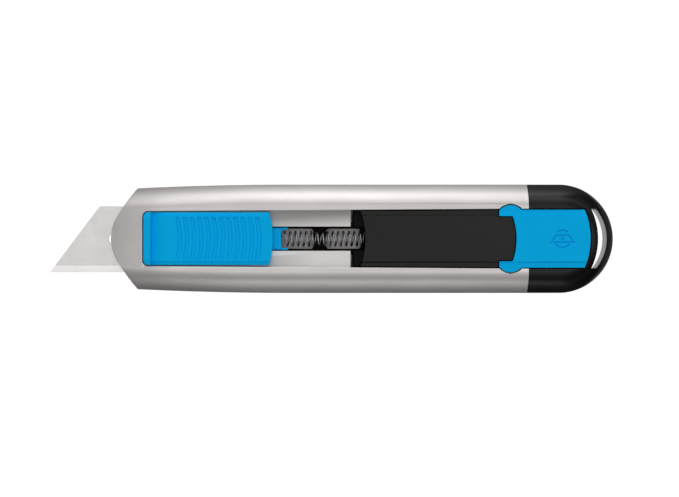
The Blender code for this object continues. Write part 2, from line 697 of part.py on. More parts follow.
def make_blade(parent):
    """A trapezoid plate, ground on both sides along its longer edge, with three holes."""
    half = BLADE_THICKNESS / 2
    slant = BLADE_SLANT / (BLADE_SPINE_Y - BLADE_EDGE_Y)
    loops = []
    for y, z in ((BLADE_EDGE_Y, BLADE_EDGE_THICKNESS / 2), (BLADE_GRIND_Y, half), (BLADE_SPINE_Y, half)):
        inset = (y - BLADE_EDGE_Y) * slant
        front, rear = -HALF_LENGTH + inset, BLADE_REAR - inset
        low, high = BLADE_Z - z, BLADE_Z + z
        loops.append([(front, y, low), (rear, y, low), (rear, y, high), (front, y, high)])
    blade = attach(to_object("trapezoid_blade", loft(loops), steel("blade_steel")), parent)
    for i, label in enumerate(("front", "middle", "rear")):
        x = BLADE_CENTRE + (i - 1) * BLADE_HOLE_PITCH
        hole = upright(x, BLADE_HOLE_RADIUS, BLADE_Z - OVERRUN, BLADE_Z + OVERRUN, 20)
        cut(blade, hole, "hole_" + label)


def make_slider_pins(parent):
    for label, x in blade_pins().items():
        shape = upright(x, BLADE_PIN_RADIUS, CLAMP_BOTTOM + GAP, CARRIER_TOP - 0.8 * MM)
        attach(to_object("blade_pin_" + label, shape, steel("blade_pin_steel_" + label)), parent)
    shape = crossways(CLAMP_HINGE_X, CLAMP_HINGE_Z, HINGE_PIN_RADIUS, LUG_YS[1] - 0.2 * MM, 12)
    attach(to_object("clamp_hinge_pin", shape, steel("hinge_pin_steel")), parent)
    attach(make_spring_pin("spring_front_pin", SPRING_FRONT_PIN, 10.5 * MM, 13.7 * MM), parent)


# Release key --------------------------------------------------------------------------------------

def key_outline():
    """Two ears with round outer bulges, a fork between them, and a bowed rear edge."""
    fork = bow(KEY_FORK_REAR, COVER_TONGUE_RADIUS, KEY_FORK_HALF)
    upper = [(KEY_FRONT, KEY_FORK_HALF)] + ear_outline(0.0)
    lower = [(x, -y) for x, y in reversed(upper)]
    rear = bow(KEY_REAR, KEY_REAR_RADIUS, KEY_HALF)
    return fork + upper + rear[::-1] + lower


def make_key():
    wide = EAR_Y + EAR_RADIUS + OVERRUN
    edge_top = KEY_TOP - CREASE_DROP * (wide - CREASE_Y) / (KEY_HALF - CREASE_Y)
    loops = []
    for x in (KEY_FRONT - OVERRUN, KEY_REAR + OVERRUN):
        loops.append(crowned_section(x, wide, KEY_BOTTOM, edge_top, KEY_TOP))
    axis_point = (PIVOT_X, 0.0, PIVOT_Z)
    key = to_object("release_key", loft(loops), blue_plastic("key_plastic"), axis_point)
    keep(key, prism(key_outline(), KEY_BOTTOM - OVERRUN, KEY_TOP + OVERRUN), "outline")
    lug_xs = (PIVOT_X - 2 * MM, PIVOT_X + 2 * MM)
    add(key, box(lug_xs, across(KEY_LUG_HALF), (KEY_LUG_BOTTOM, KEY_BOTTOM + OVERRUN)), "lug")
    cut(key, crossways(PIVOT_X, PIVOT_Z, PIVOT_RADIUS + GAP, KEY_HALF + OVERRUN), "bore")


def make_key_fittings():
    to_object("key_pivot_pin", crossways(PIVOT_X, PIVOT_Z, PIVOT_RADIUS, PIVOT_HALF), steel("pivot_steel"))
    outline = list(LEAF_PATH) + [(x, z + LEAF_THICKNESS) for x, z in reversed(LEAF_PATH)]
    loops = [[(x, y, z) for x, z in outline] for y in across(LEAF_HALF)]
    to_object("key_leaf_spring", loft(loops), steel("leaf_steel"))


# End cap ------------------------------------------------------------------------------------------

def cap_loop(reach, z):
    """The cap's outline at one height of its rounded edge: straight sides and a round rear."""
    rear = arc(CAP_CENTRE, 0.0, reach, -90, 90, CAP_ARC_STEPS)
    return [(x, y, z) for x, y in [(CAP_FRONT, -reach)] + rear + [(CAP_FRONT, reach)]]


def make_end_cap():
    loops = [cap_loop(reach, z) for reach, z in edge_profile(HALF_WIDTH, MID_Z)]
    cap = to_object("end_cap", loft(loops), black_plastic("cap_plastic"))
    front_x = CAP_FRONT - OVERRUN
    well_rear = bow(KEY_REAR + GAP, KEY_REAR_RADIUS + GAP, KEY_WELL_HALF)
    well = [(front_x, -KEY_WELL_HALF)] + well_rear + [(front_x, KEY_WELL_HALF)]
    cut(cap, prism(well, KEY_WELL_BOTTOM, THICKNESS + OVERRUN), "key_well")
    open_y = SLOT_END_Y + GAP
    rear_x = HALF_LENGTH + OVERRUN
    opening = bow(WEB_REAR, WEB_RADIUS, open_y) + [(rear_x, open_y), (rear_x, -open_y)]
    cut(cap, prism(opening, -OVERRUN, THICKNESS + OVERRUN), "lanyard_gap")
    cut(cap, crossways(BAR_PEG_X, MID_Z, BAR_PEG_RADIUS + GAP, BAR_PEG_YS[1] + 0.2 * MM, 12), "peg_hole")
    cut(cap, crossways(PIVOT_X, PIVOT_Z, PIVOT_RADIUS + GAP, PIVOT_HALF + 0.4 * MM, 12), "pivot_hole")
    pocket_zs = (BASE_BOTTOM - GAP, TONGUE_TOP + GAP)
    cut(cap, box((front_x, TONGUE_REAR + GAP), across(TONGUE_HALF + GAP), pocket_zs), "tongue_pocket")
    head, shank = SCREW_HEAD_RADIUS + 0.4 * MM, SCREW_RADIUS + GAP
    seat = [(-OVERRUN, head), (0.5 * MM, head), (1.7 * MM, shank), (BASE_BOTTOM, shank)]
    for label, x in SCREW_XS.items():
        cut(cap, turned((x, 0.0, 0.0), seat, "Z", 20), "screw_seat_" + label)


def make_lanyard_bar():
    """A bow that closes the rear of the lanyard slot, with a peg at each end."""
    loops = []
    profile = edge_profile(HALF_WIDTH, BAR_THINNING * MID_Z)
    for i in range(17):
        turn = BAR_TURN * (i / 8 - 1)
        loops.append([(CAP_CENTRE + r * math.cos(turn), r * math.sin(turn), z) for r, z in profile])
    bar = to_object("lanyard_bar", loft(loops), black_plastic("bar_plastic"))
    heights = (-OVERRUN, THICKNESS + OVERRUN)
    keep(bar, box((CAP_CENTRE, HALF_LENGTH + OVERRUN), across(SLOT_END_Y), heights), "ends")
    cut(bar, prism(arc(CAP_CENTRE, 0.0, BAR_INNER, -60, 60, 24), *heights), "inner")
    peg_length = BAR_PEG_YS[1] - BAR_PEG_YS[0]
    for side, label in SIDES:
        centre = (BAR_PEG_X, side * sum(BAR_PEG_YS) / 2, MID_Z)
        add(bar, rod(centre, BAR_PEG_RADIUS, peg_length, "Y", 12), "peg_" + label)


def make_cap_screws():
    profile = [(SCREW_HEAD_Z, SCREW_HEAD_RADIUS), (SCREW_HEAD_Z + 0.2 * MM, SCREW_HEAD_RADIUS),
               (SCREW_HEAD_Z + 1.2 * MM, SCREW_RADIUS), (SCREW_END_Z, SCREW_RADIUS)]
    for label, x in SCREW_XS.items():
        screw = to_object("cap_screw_" + label, turned((x, 0.0, 0.0), profile, "Z", 20),
                          steel("screw_steel_" + label))
        socket = upright(x, SCREW_SOCKET_RADIUS, SCREW_HEAD_Z - 0.5 * MM, SCREW_HEAD_Z + 0.8 * MM, 6)
        cut(screw, socket, "socket")


def build():
    clear_scene()
    make_housing()
    make_guide_rails()
    make_chassis()
    make_cover()
    make_spring_pin("spring_rear_pin", SPRING_REAR_PIN, 8.3 * MM, 14.3 * MM)
    make_return_spring()
    slide = bpy.data.objects.new("slide_axis", None)
    slide.location = (SLIDER_FRONT, 0.0, SPRING_Z)
    bpy.context.scene.collection.objects.link(slide)
    make_thumb_slider(slide)
    make_slider_core(slide)
    make_carrier(slide)
    make_clamp(slide)
    make_blade(slide)
    make_slider_pins(slide)
    make_key()
    make_key_fittings()
    make_end_cap()
    make_lanyard_bar()
    make_cap_screws()


build()
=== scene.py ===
"""Spring-back utility knife: fine surfaces, materials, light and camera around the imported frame."""
import math

import bmesh
import bpy
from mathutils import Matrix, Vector


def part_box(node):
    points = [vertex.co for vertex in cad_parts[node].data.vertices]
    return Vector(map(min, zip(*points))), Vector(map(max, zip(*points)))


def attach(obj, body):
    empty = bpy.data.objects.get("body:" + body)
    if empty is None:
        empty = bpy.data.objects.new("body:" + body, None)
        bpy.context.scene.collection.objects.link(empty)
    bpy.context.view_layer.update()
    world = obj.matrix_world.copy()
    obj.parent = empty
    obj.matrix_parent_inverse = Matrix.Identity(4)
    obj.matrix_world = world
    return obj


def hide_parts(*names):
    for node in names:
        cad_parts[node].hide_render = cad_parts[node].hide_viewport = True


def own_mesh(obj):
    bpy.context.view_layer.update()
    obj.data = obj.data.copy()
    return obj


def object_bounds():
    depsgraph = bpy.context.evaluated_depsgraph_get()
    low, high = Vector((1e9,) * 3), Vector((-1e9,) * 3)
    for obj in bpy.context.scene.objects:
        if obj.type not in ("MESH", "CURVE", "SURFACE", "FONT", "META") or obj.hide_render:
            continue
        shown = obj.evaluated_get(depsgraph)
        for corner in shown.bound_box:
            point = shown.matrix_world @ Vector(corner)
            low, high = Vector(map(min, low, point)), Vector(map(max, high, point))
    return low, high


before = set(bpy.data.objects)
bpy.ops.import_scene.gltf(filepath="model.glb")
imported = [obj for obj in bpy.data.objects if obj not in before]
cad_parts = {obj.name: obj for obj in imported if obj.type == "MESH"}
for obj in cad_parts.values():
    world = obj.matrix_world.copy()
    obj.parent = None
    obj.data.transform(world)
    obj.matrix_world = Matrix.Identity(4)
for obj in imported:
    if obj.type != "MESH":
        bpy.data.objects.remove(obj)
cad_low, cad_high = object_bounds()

MM = 0.001
GAP = 0.3 * MM                      # clearance between neighbouring pieces
OVERRUN = 1.0 * MM                  # how far a cutting shape runs past what it cuts

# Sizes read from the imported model
BOX = {name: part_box(name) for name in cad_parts}
NOSE_TIP = BOX["housing_shell"][0].x
HOUSING_REAR = BOX["housing_shell"][1].x
HALF_WIDTH = BOX["housing_shell"][1].y
THICKNESS = BOX["housing_shell"][1].z
HALF_LENGTH = -BOX["trapezoid_blade"][0].x
MID_Z = THICKNESS / 2

# Housing
BACK_ROUND = 5.3 * MM               # plan width of the rounding from the sides to the back
SHOULDER = 6.2 * MM                 # plan width of the shoulder from the sides to the face
SHOULDER_POWER = 1.75               # 2 and 2 would make the shoulder an ellipse
SHOULDER_RISE = 1.25
TAPER_START = -11.8 * MM
TAPER_LENGTH = 40.3 * MM
TAPER_DEPTH = 0.9 * MM
NOSE_RADIUS = 12.0 * MM
NOSE_FLANK_ANGLE = math.radians(33)
NOSE_SLOPE_START = -46.0 * MM
NOSE_SLOPE_DROP = 2.2 * MM
RECESS_FRONT = -53.8 * MM
RECESS_HALF_FRONT = 7.8 * MM
RECESS_HALF_REAR = 8.5 * MM
RECESS_CORNER = 1.6 * MM
FLOOR_TOP = 14.4 * MM
FLOOR_UNDER = 12.8 * MM
FLOOR_END = 5.5 * MM
SLOT_HALF = 3.45 * MM
SLOT_FRONT = -49.4 * MM
HOLLOW_FRONT = -54.3 * MM
HOLLOW_BOTTOM = 1.8 * MM
HOLLOW_HALF = 13.6 * MM
HOLLOW_ROUND = 3.6 * MM
POCKET_FRONT = -57.4 * MM
POCKET_HALF = 9.95 * MM
POCKET_BOTTOM = 4.4 * MM
POCKET_TOP = 12.4 * MM
SLIT_HALF_HEIGHT = 0.7 * MM

# Thumb slider
SLIDER_FRONT = BOX["thumb_slider"][0].x - 0.3 * MM
SLIDER_REAR = BOX["thumb_slider"][1].x
SLIDER_REAR_RADIUS = 24.8 * MM
SLIDER_HALF = BOX["thumb_slider"][1].y + 0.15 * MM
SLIDER_CORNER = 1.4 * MM
SLIDER_BOTTOM = BOX["thumb_slider"][0].z
LIP_TOP = BOX["thumb_slider"][1].z
SLIDER_TOP = 17.7 * MM
LIP_REAR = -51.1 * MM
LIP_END_DROP = 0.3 * MM             # the lip falls away a little at both ends
LIP_END_YS = (5.9 * MM, 7.4 * MM)
DISH_BOTTOM = 16.4 * MM
DISH_REAR = -46.5 * MM
CREASE_Y = 6.5 * MM                 # a small step runs along both edges of the slider, cover and key
CREASE_STEP = 0.48 * MM
CREASE_WIDTH = 0.25 * MM
EDGE_FALL = 0.12 * MM               # from the crease to the grip's side
PLATE_EDGE_FALL = 0.14 * MM         # the same on the cover and key
RIB_COUNT = 12
RIB_PITCH = 2.055 * MM
RIB_FIELD_FRONT = -44.1 * MM
RIB_DEPTH = 0.4 * MM
RIB_HALF = 6.0 * MM
RIB_WALL = 0.07 * MM                # half of what a groove's sloping wall takes up
RIB_MIDDLES = [RIB_FIELD_FRONT + (i + 0.5) * RIB_PITCH for i in range(RIB_COUNT)]
FILLET = 0.25 * MM

# Blade
BLADE_Z = 8.3 * MM
BLADE_THICKNESS = 0.63 * MM
BLADE_EDGE_Y = BOX["trapezoid_blade"][0].y
BLADE_EDGE_THICKNESS = 0.04 * MM
BLADE_SPINE_Y = BOX["trapezoid_blade"][1].y
BLADE_GRIND_Y = -7.75 * MM
BLADE_SLANT = 14.3 * MM
BLADE_HOLE_RADIUS = 1.6 * MM
BLADE_HOLE_PITCH = 8.1 * MM
BLADE_REAR = BOX["trapezoid_blade"][1].x

# Insert
COVER_FRONT = 9.67 * MM
COVER_FRONT_RADIUS = 24.8 * MM
COVER_BOTTOM = BOX["insert_cover"][0].z
COVER_TOP = BOX["insert_cover"][1].z
COVER_TONGUE_HALF = 6.1 * MM
COVER_TONGUE_RADIUS = 19.0 * MM
COVER_CHANNEL_TOP = 15.4 * MM
CHANNEL_REAR = 31.5 * MM

# Return spring
SPRING_Z = 12.5 * MM
SPRING_RADIUS = 2.0 * MM
SPRING_WIRE = 0.25 * MM
SPRING_TURNS = 26
SPRING_FRONT_PIN = -15.6 * MM
SPRING_REAR_PIN = 28.6 * MM
SPRING_HOOK = 0.95 * MM
SPRING_LEAD = 1.3 * MM

# Release key
KEY_FRONT = 47.75 * MM
KEY_REAR = BOX["release_key"][1].x
KEY_REAR_RADIUS = 21.7 * MM
KEY_HALF = 8.25 * MM
KEY_BOTTOM = 14.6 * MM
KEY_TOP = BOX["release_key"][1].z
KEY_FORK_HALF = 6.4 * MM
KEY_FORK_REAR = 52.66 * MM
KEY_LUG_BOTTOM = BOX["release_key"][0].z
KEY_LUG_HALF = 7.9 * MM
EAR_X = 51.0 * MM
EAR_Y = 5.48 * MM
EAR_RADIUS = 4.08 * MM
RAMP_FRONT = 55.4 * MM
RAMP_REAR = 57.6 * MM
RAMP_DROP = 0.15 * MM
MARK_CENTRE = (65.7 * MM, 0.0)
MARK_STROKE = 0.45 * MM
MARK_DEPTH = 0.42 * MM
MARK_HALF_LENGTHS = (1.9 * MM, 3.65 * MM)       # of the trapezoid's shorter and longer side
MARK_YS = (-1.15 * MM, 1.2 * MM)
MARK_DOT_RADIUS = 0.42 * MM
MARK_ARC_RADIUS = 2.2 * MM
MARK_ARCS = ((90, 38), (270, 52))               # middle and half of each arc, in degrees
PIVOT_X = 61.3 * MM
PIVOT_Z = 14.9 * MM
PIVOT_RADIUS = 0.8 * MM
PIVOT_HALF = 10.2 * MM
LEAF_FRONT = 64.4 * MM
LEAF_REAR = 72.8 * MM
LEAF_LOW = 11.8 * MM
LEAF_HIGH = 13.9 * MM
LEAF_HALF = 2.2 * MM
LEAF_THICKNESS = 0.3 * MM

# End cap
CAP_FRONT = HOUSING_REAR + 0.06 * MM
CAP_CENTRE = HALF_LENGTH - HALF_WIDTH
KEY_WELL_BOTTOM = 11.5 * MM
KEY_WELL_HALF = KEY_HALF + GAP
WEB_REAR = 75.9 * MM
WEB_RADIUS = 20.8 * MM
SLOT_END_Y = 8.15 * MM
BASE_BOTTOM = 4.6 * MM
TONGUE_REAR = 68.0 * MM
TONGUE_HALF = 6.0 * MM
TONGUE_TOP = 8.5 * MM
BAR_INNER = 13.3 * MM
BAR_TURN = math.radians(40)
BAR_THINNING = 0.93
BAR_PEG_X = 76.5 * MM
BAR_PEG_RADIUS = 0.55 * MM
BAR_PEG_START_Y = 8.2 * MM
BAR_PEG_Y = 9.4 * MM
SCREW_XS = {"front": 60.2 * MM, "rear": 65.8 * MM}
SCREW_HEAD_Z = 0.4 * MM
SCREW_END_Z = 7.0 * MM
SCREW_HEAD_RADIUS = 2.0 * MM
SCREW_RADIUS = 1.0 * MM
SCREW_SOCKET_RADIUS = 0.85 * MM
SCREW_SEAT_STRAIGHT = 0.65 * MM     # depth of the seat's straight rim
SCREW_SEAT_DEPTH = 1.8 * MM
THREAD_PITCH = 0.5 * MM
THREAD_DEPTH = 0.15 * MM

# Materials, light and camera
METAL_SHARE = 0.58                  # blasting scatters most of the light that falls on the aluminium
EDGE_BEVEL = 0.1 * MM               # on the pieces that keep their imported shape

# The studio dome's brightness over the lean in degrees from straight up towards +Y, and over the share of
# the direction along X. The two curves are multiplied, and a peak is the top of a curve's scale.
DOME_PEAK = 3.0
DOME_ACROSS = ((-180, 0.2), (-90, 0.3), (-75, 0.32), (-56, 0.6), (-33, 1.1), (-12, 1.5), (0, 1.52),
               (15, 1.42), (30, 1.1), (41, 1.05), (59, 1.45), (75, 2.05), (90, 2.5), (180, 1.3))
DOME_ALONG_PEAK = 1.5
DOME_ALONG = ((-1, 0.25), (-0.5, 0.35), (-0.3, 0.5), (-0.17, 0.74), (-0.1, 0.93), (0, 1.0), (0.07, 1.0),
              (0.15, 0.82), (0.3, 0.55), (0.5, 0.4), (1, 0.3))

# What the floor gives off round the knife, over Y and over X in millimetres: painted light, with painted
# contact shadow in the dips close along both sides of the knife
FLOOR_PEAK = 3.0
FLOOR_ACROSS = ((-150, 1.2), (-62, 1.1), (-48, 0.55), (-38, 0.15), (-27, 0.03), (-17, 0.02), (-15, 1.4),
                (15, 1.4), (17, 0.1), (28, 0.25), (36, 0.7), (50, 2.0), (70, 2.7), (150, 2.7))
FLOOR_ALONG = ((-200, 0.1), (-82, 0.15), (-62, 0.45), (-28, 1.0), (35, 1.0), (79, 0.6), (82, 0.1), (200, 0.1))

CAMERA_DISTANCE = 680 * MM
CAMERA_X = 2.3 * MM
CAMERA_Y = -2.8 * MM
LENS = 125.2
SENSOR_WIDTH = 36.0


# Shapes -------------------------------------------------------------------------------------------

def make_object(name, shape):
    bmesh.ops.recalc_face_normals(shape, faces=shape.faces)
    mesh = bpy.data.meshes.new(name)
    shape.to_mesh(mesh)
    shape.free()
    piece = bpy.data.objects.new(name, mesh)
    bpy.context.scene.collection.objects.link(piece)
    return piece


def loft(loops):
    """Close a skin over loops of points that all have the same count."""
    shape = bmesh.new()
    rings = [[shape.verts.new(point) for point in loop] for loop in loops]
    count = len(rings[0])
    for near, far in zip(rings, rings[1:]):
        for i in range(count):
            j = (i + 1) % count
            shape.faces.new((near[i], near[j], far[j], far[i]))
    shape.faces.new(rings[0])
    shape.faces.new(rings[-1])
    return shape


def prism(outline, bottom, top):
    return loft([[(x, y, z) for x, y in outline] for z in (bottom, top)])


def box(xs, ys, zs):
    return prism([(xs[0], ys[0]), (xs[1], ys[0]), (xs[1], ys[1]), (xs[0], ys[1])], *zs)


def joined(shapes):
    """Put several shapes that don't touch into one."""
    whole = bmesh.new()
    for shape in shapes:
        mesh = bpy.data.meshes.new("joined")
        shape.to_mesh(mesh)
        shape.free()
        whole.from_mesh(mesh)
        bpy.data.meshes.remove(mesh)
    return whole


def across(half):
    return (-half, half)


def turned(centre, profile, axis, segments=48):
    """Turn (distance along the axis, radius) pairs about an axis through the centre."""
    loops = []
    for along, radius in profile:
        loop = []
        for i in range(segments):
            angle = 2 * math.pi * i / segments
            u, v = radius * math.cos(angle), radius * math.sin(angle)
            offset = {"Y": (v, along, u), "Z": (u, v, along)}[axis]
            loop.append([centre[k] + offset[k] for k in range(3)])
        loops.append(loop)
    return loft(loops)


def arc(cx, cy, radius, start, end, steps):
    """Points on a circle between two angles in degrees."""
    angles = [math.radians(start + (end - start) * i / steps) for i in range(steps + 1)]
    return [(cx + radius * math.cos(a), cy + radius * math.sin(a)) for a in angles]


def bow(x_mid, radius, half, steps=32):
    """Points on an arc across the knife, from -half to +half, bulging to +X at the middle."""
    span = math.degrees(math.asin(half / radius))
    return arc(x_mid - radius, 0.0, radius, -span, span, steps)


def mirrored(half_outline):
    return half_outline + [(x, -y) for x, y in reversed(half_outline)]


def carve(piece, steps):
    """Run (operation, shape) Boolean steps on a piece, and keep the result as its mesh."""
    tools = []
    for operation, shape in steps:
        tool = make_object("tool", shape)
        step = piece.modifiers.new("step", "BOOLEAN")
        step.operation = operation
        step.solver = "EXACT"
        step.object = tool
        tools.append(tool)
    bake(piece)
    for tool in tools:
        bpy.data.objects.remove(tool, do_unlink=True)
    clean_mesh(piece)
    return piece


def clean_mesh(piece, merge=0.02 * MM, flat=math.radians(0.05)):
    """Merge points that nearly touch, and rejoin flat faces that cutting split."""
    shape = bmesh.new()
    shape.from_mesh(piece.data)
    bmesh.ops.remove_doubles(shape, verts=shape.verts, dist=merge)
    bmesh.ops.dissolve_degenerate(shape, edges=shape.edges, dist=merge / 2)
    bmesh.ops.dissolve_limit(shape, angle_limit=flat, verts=shape.verts, edges=shape.edges)
    shape.to_mesh(piece.data)
    shape.free()


def bake(piece):
    """Keep what a piece's modifiers make of it as its mesh."""
    graph = bpy.context.evaluated_depsgraph_get()
    mesh = bpy.data.meshes.new_from_object(piece.evaluated_get(graph))
    piece.modifiers.clear()
    old = piece.data
    piece.data = mesh
    bpy.data.meshes.remove(old)


def bevel(piece, width, segments, angle=30):
    edges = piece.modifiers.new("soft_edges", "BEVEL")
    edges.width = width
    edges.segments = segments
    edges.limit_method = "ANGLE"
    edges.angle_limit = math.radians(angle)
    edges.use_clamp_overlap = False
    edges.miter_outer = "MITER_ARC"
    bake(piece)


def shade(piece, sharp=50):
    """Shade smooth except over sharp edges, with large faces kept flat."""
    piece.data.shade_smooth()
    piece.data.set_sharp_from_angle(angle=math.radians(sharp))
    normals = piece.modifiers.new("even_normals", "WEIGHTED_NORMAL")
    normals.keep_sharp = True
    normals.weight = 100


def soften(piece, width, segments=3, angle=30):
    bevel(piece, width, segments, angle)
    shade(piece)


def second_material(piece, material, chosen):
    """Give the faces that are chosen by their middle and normal another material."""
    piece.data.materials.append(material)
    for face in piece.data.polygons:
        if chosen(face.center, face.normal):
            face.material_index = 1


def place(piece, body, material, nodes=()):
    """Give a piece its material, and have it ride a body and stand for its CAD nodes."""
    piece.data.materials.clear()
    piece.data.materials.append(material)
    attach(piece, body)
    if nodes:
        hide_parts(*nodes)


# Housing ------------------------------------------------------------------------------------------

def rounded_section(x, half_width, round_width, mid_z, half_thickness, steps):
    """A cross-section at x: flat front and back, and half ellipses for its two sides."""
    right = []
    for i in range(steps + 1):
        angle = math.pi * (i / steps - 0.5)
        y = half_width - round_width + round_width * math.cos(angle)
        right.append((x, y, mid_z + half_thickness * math.sin(angle)))
    return right + [(x, -y, z) for x, y, z in reversed(right)]


def edge_profile(half_width, half_thickness, steps=28):
    """Round one long edge from back to face, as (distance from the middle, height) pairs."""
    quarter = [math.pi / 2 * i / steps for i in range(steps + 1)]
    points = []
    for angle in reversed(quarter):
        reach = half_width - BACK_ROUND + BACK_ROUND * math.cos(angle)
        points.append((reach, MID_Z - half_thickness * math.sin(angle)))
    for angle in quarter[1:]:
        reach = half_width - SHOULDER + SHOULDER * math.cos(angle) ** (2 / SHOULDER_POWER)
        points.append((reach, MID_Z + half_thickness * math.sin(angle) ** (2 / SHOULDER_RISE)))
    return points


def housing_half_width(x):
    ahead = max(0.0, TAPER_START - x) / TAPER_LENGTH
    return HALF_WIDTH - TAPER_DEPTH * ahead ** 2


def housing_half_thickness(x):
    ahead = max(0.0, NOSE_SLOPE_START - x) / (NOSE_SLOPE_START - NOSE_TIP)
    return MID_Z - NOSE_SLOPE_DROP * ahead ** 2


def recess_half_width(x):
    share = (x - RECESS_FRONT) / (HOUSING_REAR - RECESS_FRONT)
    return RECESS_HALF_FRONT + (RECESS_HALF_REAR - RECESS_HALF_FRONT) * share


def ear_outline(grow):
    """The +Y bulge of a key ear, front to rear, grown outwards for its notch."""
    radius = EAR_RADIUS + grow
    start = math.degrees(math.acos((KEY_FRONT - grow - EAR_X) / radius))
    end = math.degrees(math.asin((KEY_HALF + grow - EAR_Y) / radius))
    return arc(EAR_X, EAR_Y, radius, start, end, 24)


def nose_outline():
    turn = math.degrees(NOSE_FLANK_ANGLE)
    tip = arc(NOSE_TIP + NOSE_RADIUS, 0.0, NOSE_RADIUS, 180, 180 - turn, 20)
    flank_x, flank_y = tip[-1]
    outer_y = HALF_WIDTH + OVERRUN
    outer_x = flank_x + (outer_y - flank_y) * math.tan(NOSE_FLANK_ANGLE)
    half = tip + [(outer_x, outer_y), (HOUSING_REAR + OVERRUN, outer_y)]
    return half + [(x, -y) for x, y in reversed(half[1:])]


def make_housing(material, shaded_floor_material):
    nose_x = NOSE_TIP - OVERRUN
    xs = [nose_x + (TAPER_START - nose_x) * i / 48 for i in range(49)] + [HOUSING_REAR]
    loops = []
    for x in xs:
        right = [(x, y, z) for y, z in edge_profile(housing_half_width(x), housing_half_thickness(x))]
        loops.append(right + [(x, -y, z) for x, y, z in reversed(right)])
    housing = make_object("housing", loft(loops))
    rear_x = HOUSING_REAR + OVERRUN
    hollow_z = (HOLLOW_BOTTOM + FLOOR_UNDER) / 2
    hollow_half = (FLOOR_UNDER - HOLLOW_BOTTOM) / 2
    hollow = [rounded_section(x, HOLLOW_HALF, HOLLOW_ROUND, hollow_z, hollow_half, 12)
              for x in (HOLLOW_FRONT, rear_x)]
    pocket_xs = (POCKET_FRONT, HOLLOW_FRONT + OVERRUN)
    slit_xs = (NOSE_TIP - OVERRUN, POCKET_FRONT + OVERRUN)
    slit_zs = (BLADE_Z - SLIT_HALF_HEIGHT, BLADE_Z + SLIT_HALF_HEIGHT)
    corner = arc(RECESS_FRONT + RECESS_CORNER, RECESS_HALF_FRONT - RECESS_CORNER, RECESS_CORNER, 180, 90, 14)
    recess = mirrored(corner + [(rear_x, recess_half_width(rear_x))])
    opening = mirrored([(x, recess_half_width(x)) for x in (FLOOR_END, rear_x)])
    slot_zs = (FLOOR_UNDER - OVERRUN, FLOOR_TOP + OVERRUN)
    notch = ear_outline(GAP)
    inner_y = recess_half_width(EAR_X) - OVERRUN
    notch = [(notch[0][0], inner_y)] + notch + [(notch[-1][0], inner_y)]
    steps = [
        ("INTERSECT", prism(nose_outline(), -OVERRUN, THICKNESS + OVERRUN)),
        ("DIFFERENCE", loft(hollow)),
        ("DIFFERENCE", box(pocket_xs, across(POCKET_HALF), (POCKET_BOTTOM, POCKET_TOP))),
        ("DIFFERENCE", box(slit_xs, across(POCKET_HALF), slit_zs)),
        ("DIFFERENCE", prism(recess, FLOOR_TOP, THICKNESS + OVERRUN)),
        ("DIFFERENCE", prism(opening, slot_zs[0], slot_zs[1])),
        ("DIFFERENCE", box((SLOT_FRONT, FLOOR_END + OVERRUN), across(SLOT_HALF), slot_zs)),
    ]
    for side in (1, -1):
        flipped = [(x, side * y) for x, y in notch]
        steps.append(("DIFFERENCE", prism(flipped, FLOOR_TOP, THICKNESS + OVERRUN)))
    soften(carve(housing, steps), 0.14 * MM)
    place(housing, "handle", material, ["housing_shell"])
    # The recess floor takes a darker copy of the aluminium: painted shade for the recess.
    second_material(housing, shaded_floor_material, on_recess_floor)


def on_recess_floor(middle, normal):
    return normal.z > 0.99 and abs(middle.z - FLOOR_TOP) < 0.05 * MM


# Thumb slider -------------------------------------------------------------------------------------

def smooth_step(value, start, end):
    share = min(1.0, max(0.0, (value - start) / (end - start)))
    return share * share * (3 - 2 * share)


def slider_height(along, y):
    """Height of the slider's face. along is the distance on the middle line, y across it."""
    behind_lip = smooth_step(along, LIP_REAR - 0.35 * MM, LIP_REAR + 0.2 * MM)
    share = min(1.0, max(0.0, (along - LIP_REAR) / (DISH_REAR - LIP_REAR)))
    dish = DISH_BOTTOM + (SLIDER_TOP - DISH_BOTTOM) * math.sin(share * math.pi / 2)
    lip_end = LIP_END_DROP * smooth_step(abs(y), *LIP_END_YS)
    height = (LIP_TOP - lip_end) * (1 - behind_lip) + dish * behind_lip
    ledge = CREASE_STEP * smooth_step(abs(y), CREASE_Y - 0.06 * MM, CREASE_Y + 0.06 * MM)
    ledge += EDGE_FALL * smooth_step(abs(y), CREASE_Y, SLIDER_HALF)
    height -= ledge * behind_lip
    inside = 1 - smooth_step(abs(y), RIB_HALF - 0.12 * MM, RIB_HALF + 0.04 * MM)
    for middle in RIB_MIDDLES:
        reach = abs(along - middle)
        if reach < RIB_PITCH / 2:
            groove = 1 - smooth_step(reach, RIB_PITCH / 4 - RIB_WALL, RIB_PITCH / 4 + RIB_WALL)
            height -= RIB_DEPTH * groove * inside
    return height


def slider_stations():
    """Distances along the middle line, close together where the face bends most."""
    fillet = [FILLET * (1 - math.cos(math.pi / 2 * i / 6)) for i in range(7)]
    found = [SLIDER_FRONT + value for value in fillet] + [SLIDER_REAR - value for value in fillet]
    found += [SLIDER_FRONT + SLIDER_CORNER * (1 - math.cos(math.pi / 2 * i / 14)) for i in range(15)]
    found += [LIP_REAR + offset * MM for offset in (-0.35, -0.25, -0.15, -0.05, 0.05, 0.15, 0.25)]
    found += [LIP_REAR + (DISH_REAR - LIP_REAR) * i / 16 for i in range(1, 17)]
    for middle in RIB_MIDDLES:
        for side in (-1, 1):
            edge = middle + side * RIB_PITCH / 4
            found += [edge + share * RIB_WALL for share in (-1.0, -0.5, 0.0, 0.5, 1.0)]
        found += [middle, middle + RIB_PITCH / 2]
    found += [SLIDER_REAR - offset * MM for offset in (1.0, 2.0)]
    return spread(found)


def spread(values, least=0.015 * MM):
    """Sort values, and leave out those that nearly repeat one before."""
    kept = []
    for value in sorted(values):
        if not kept or value - kept[-1] > least:
            kept.append(value)
    return kept


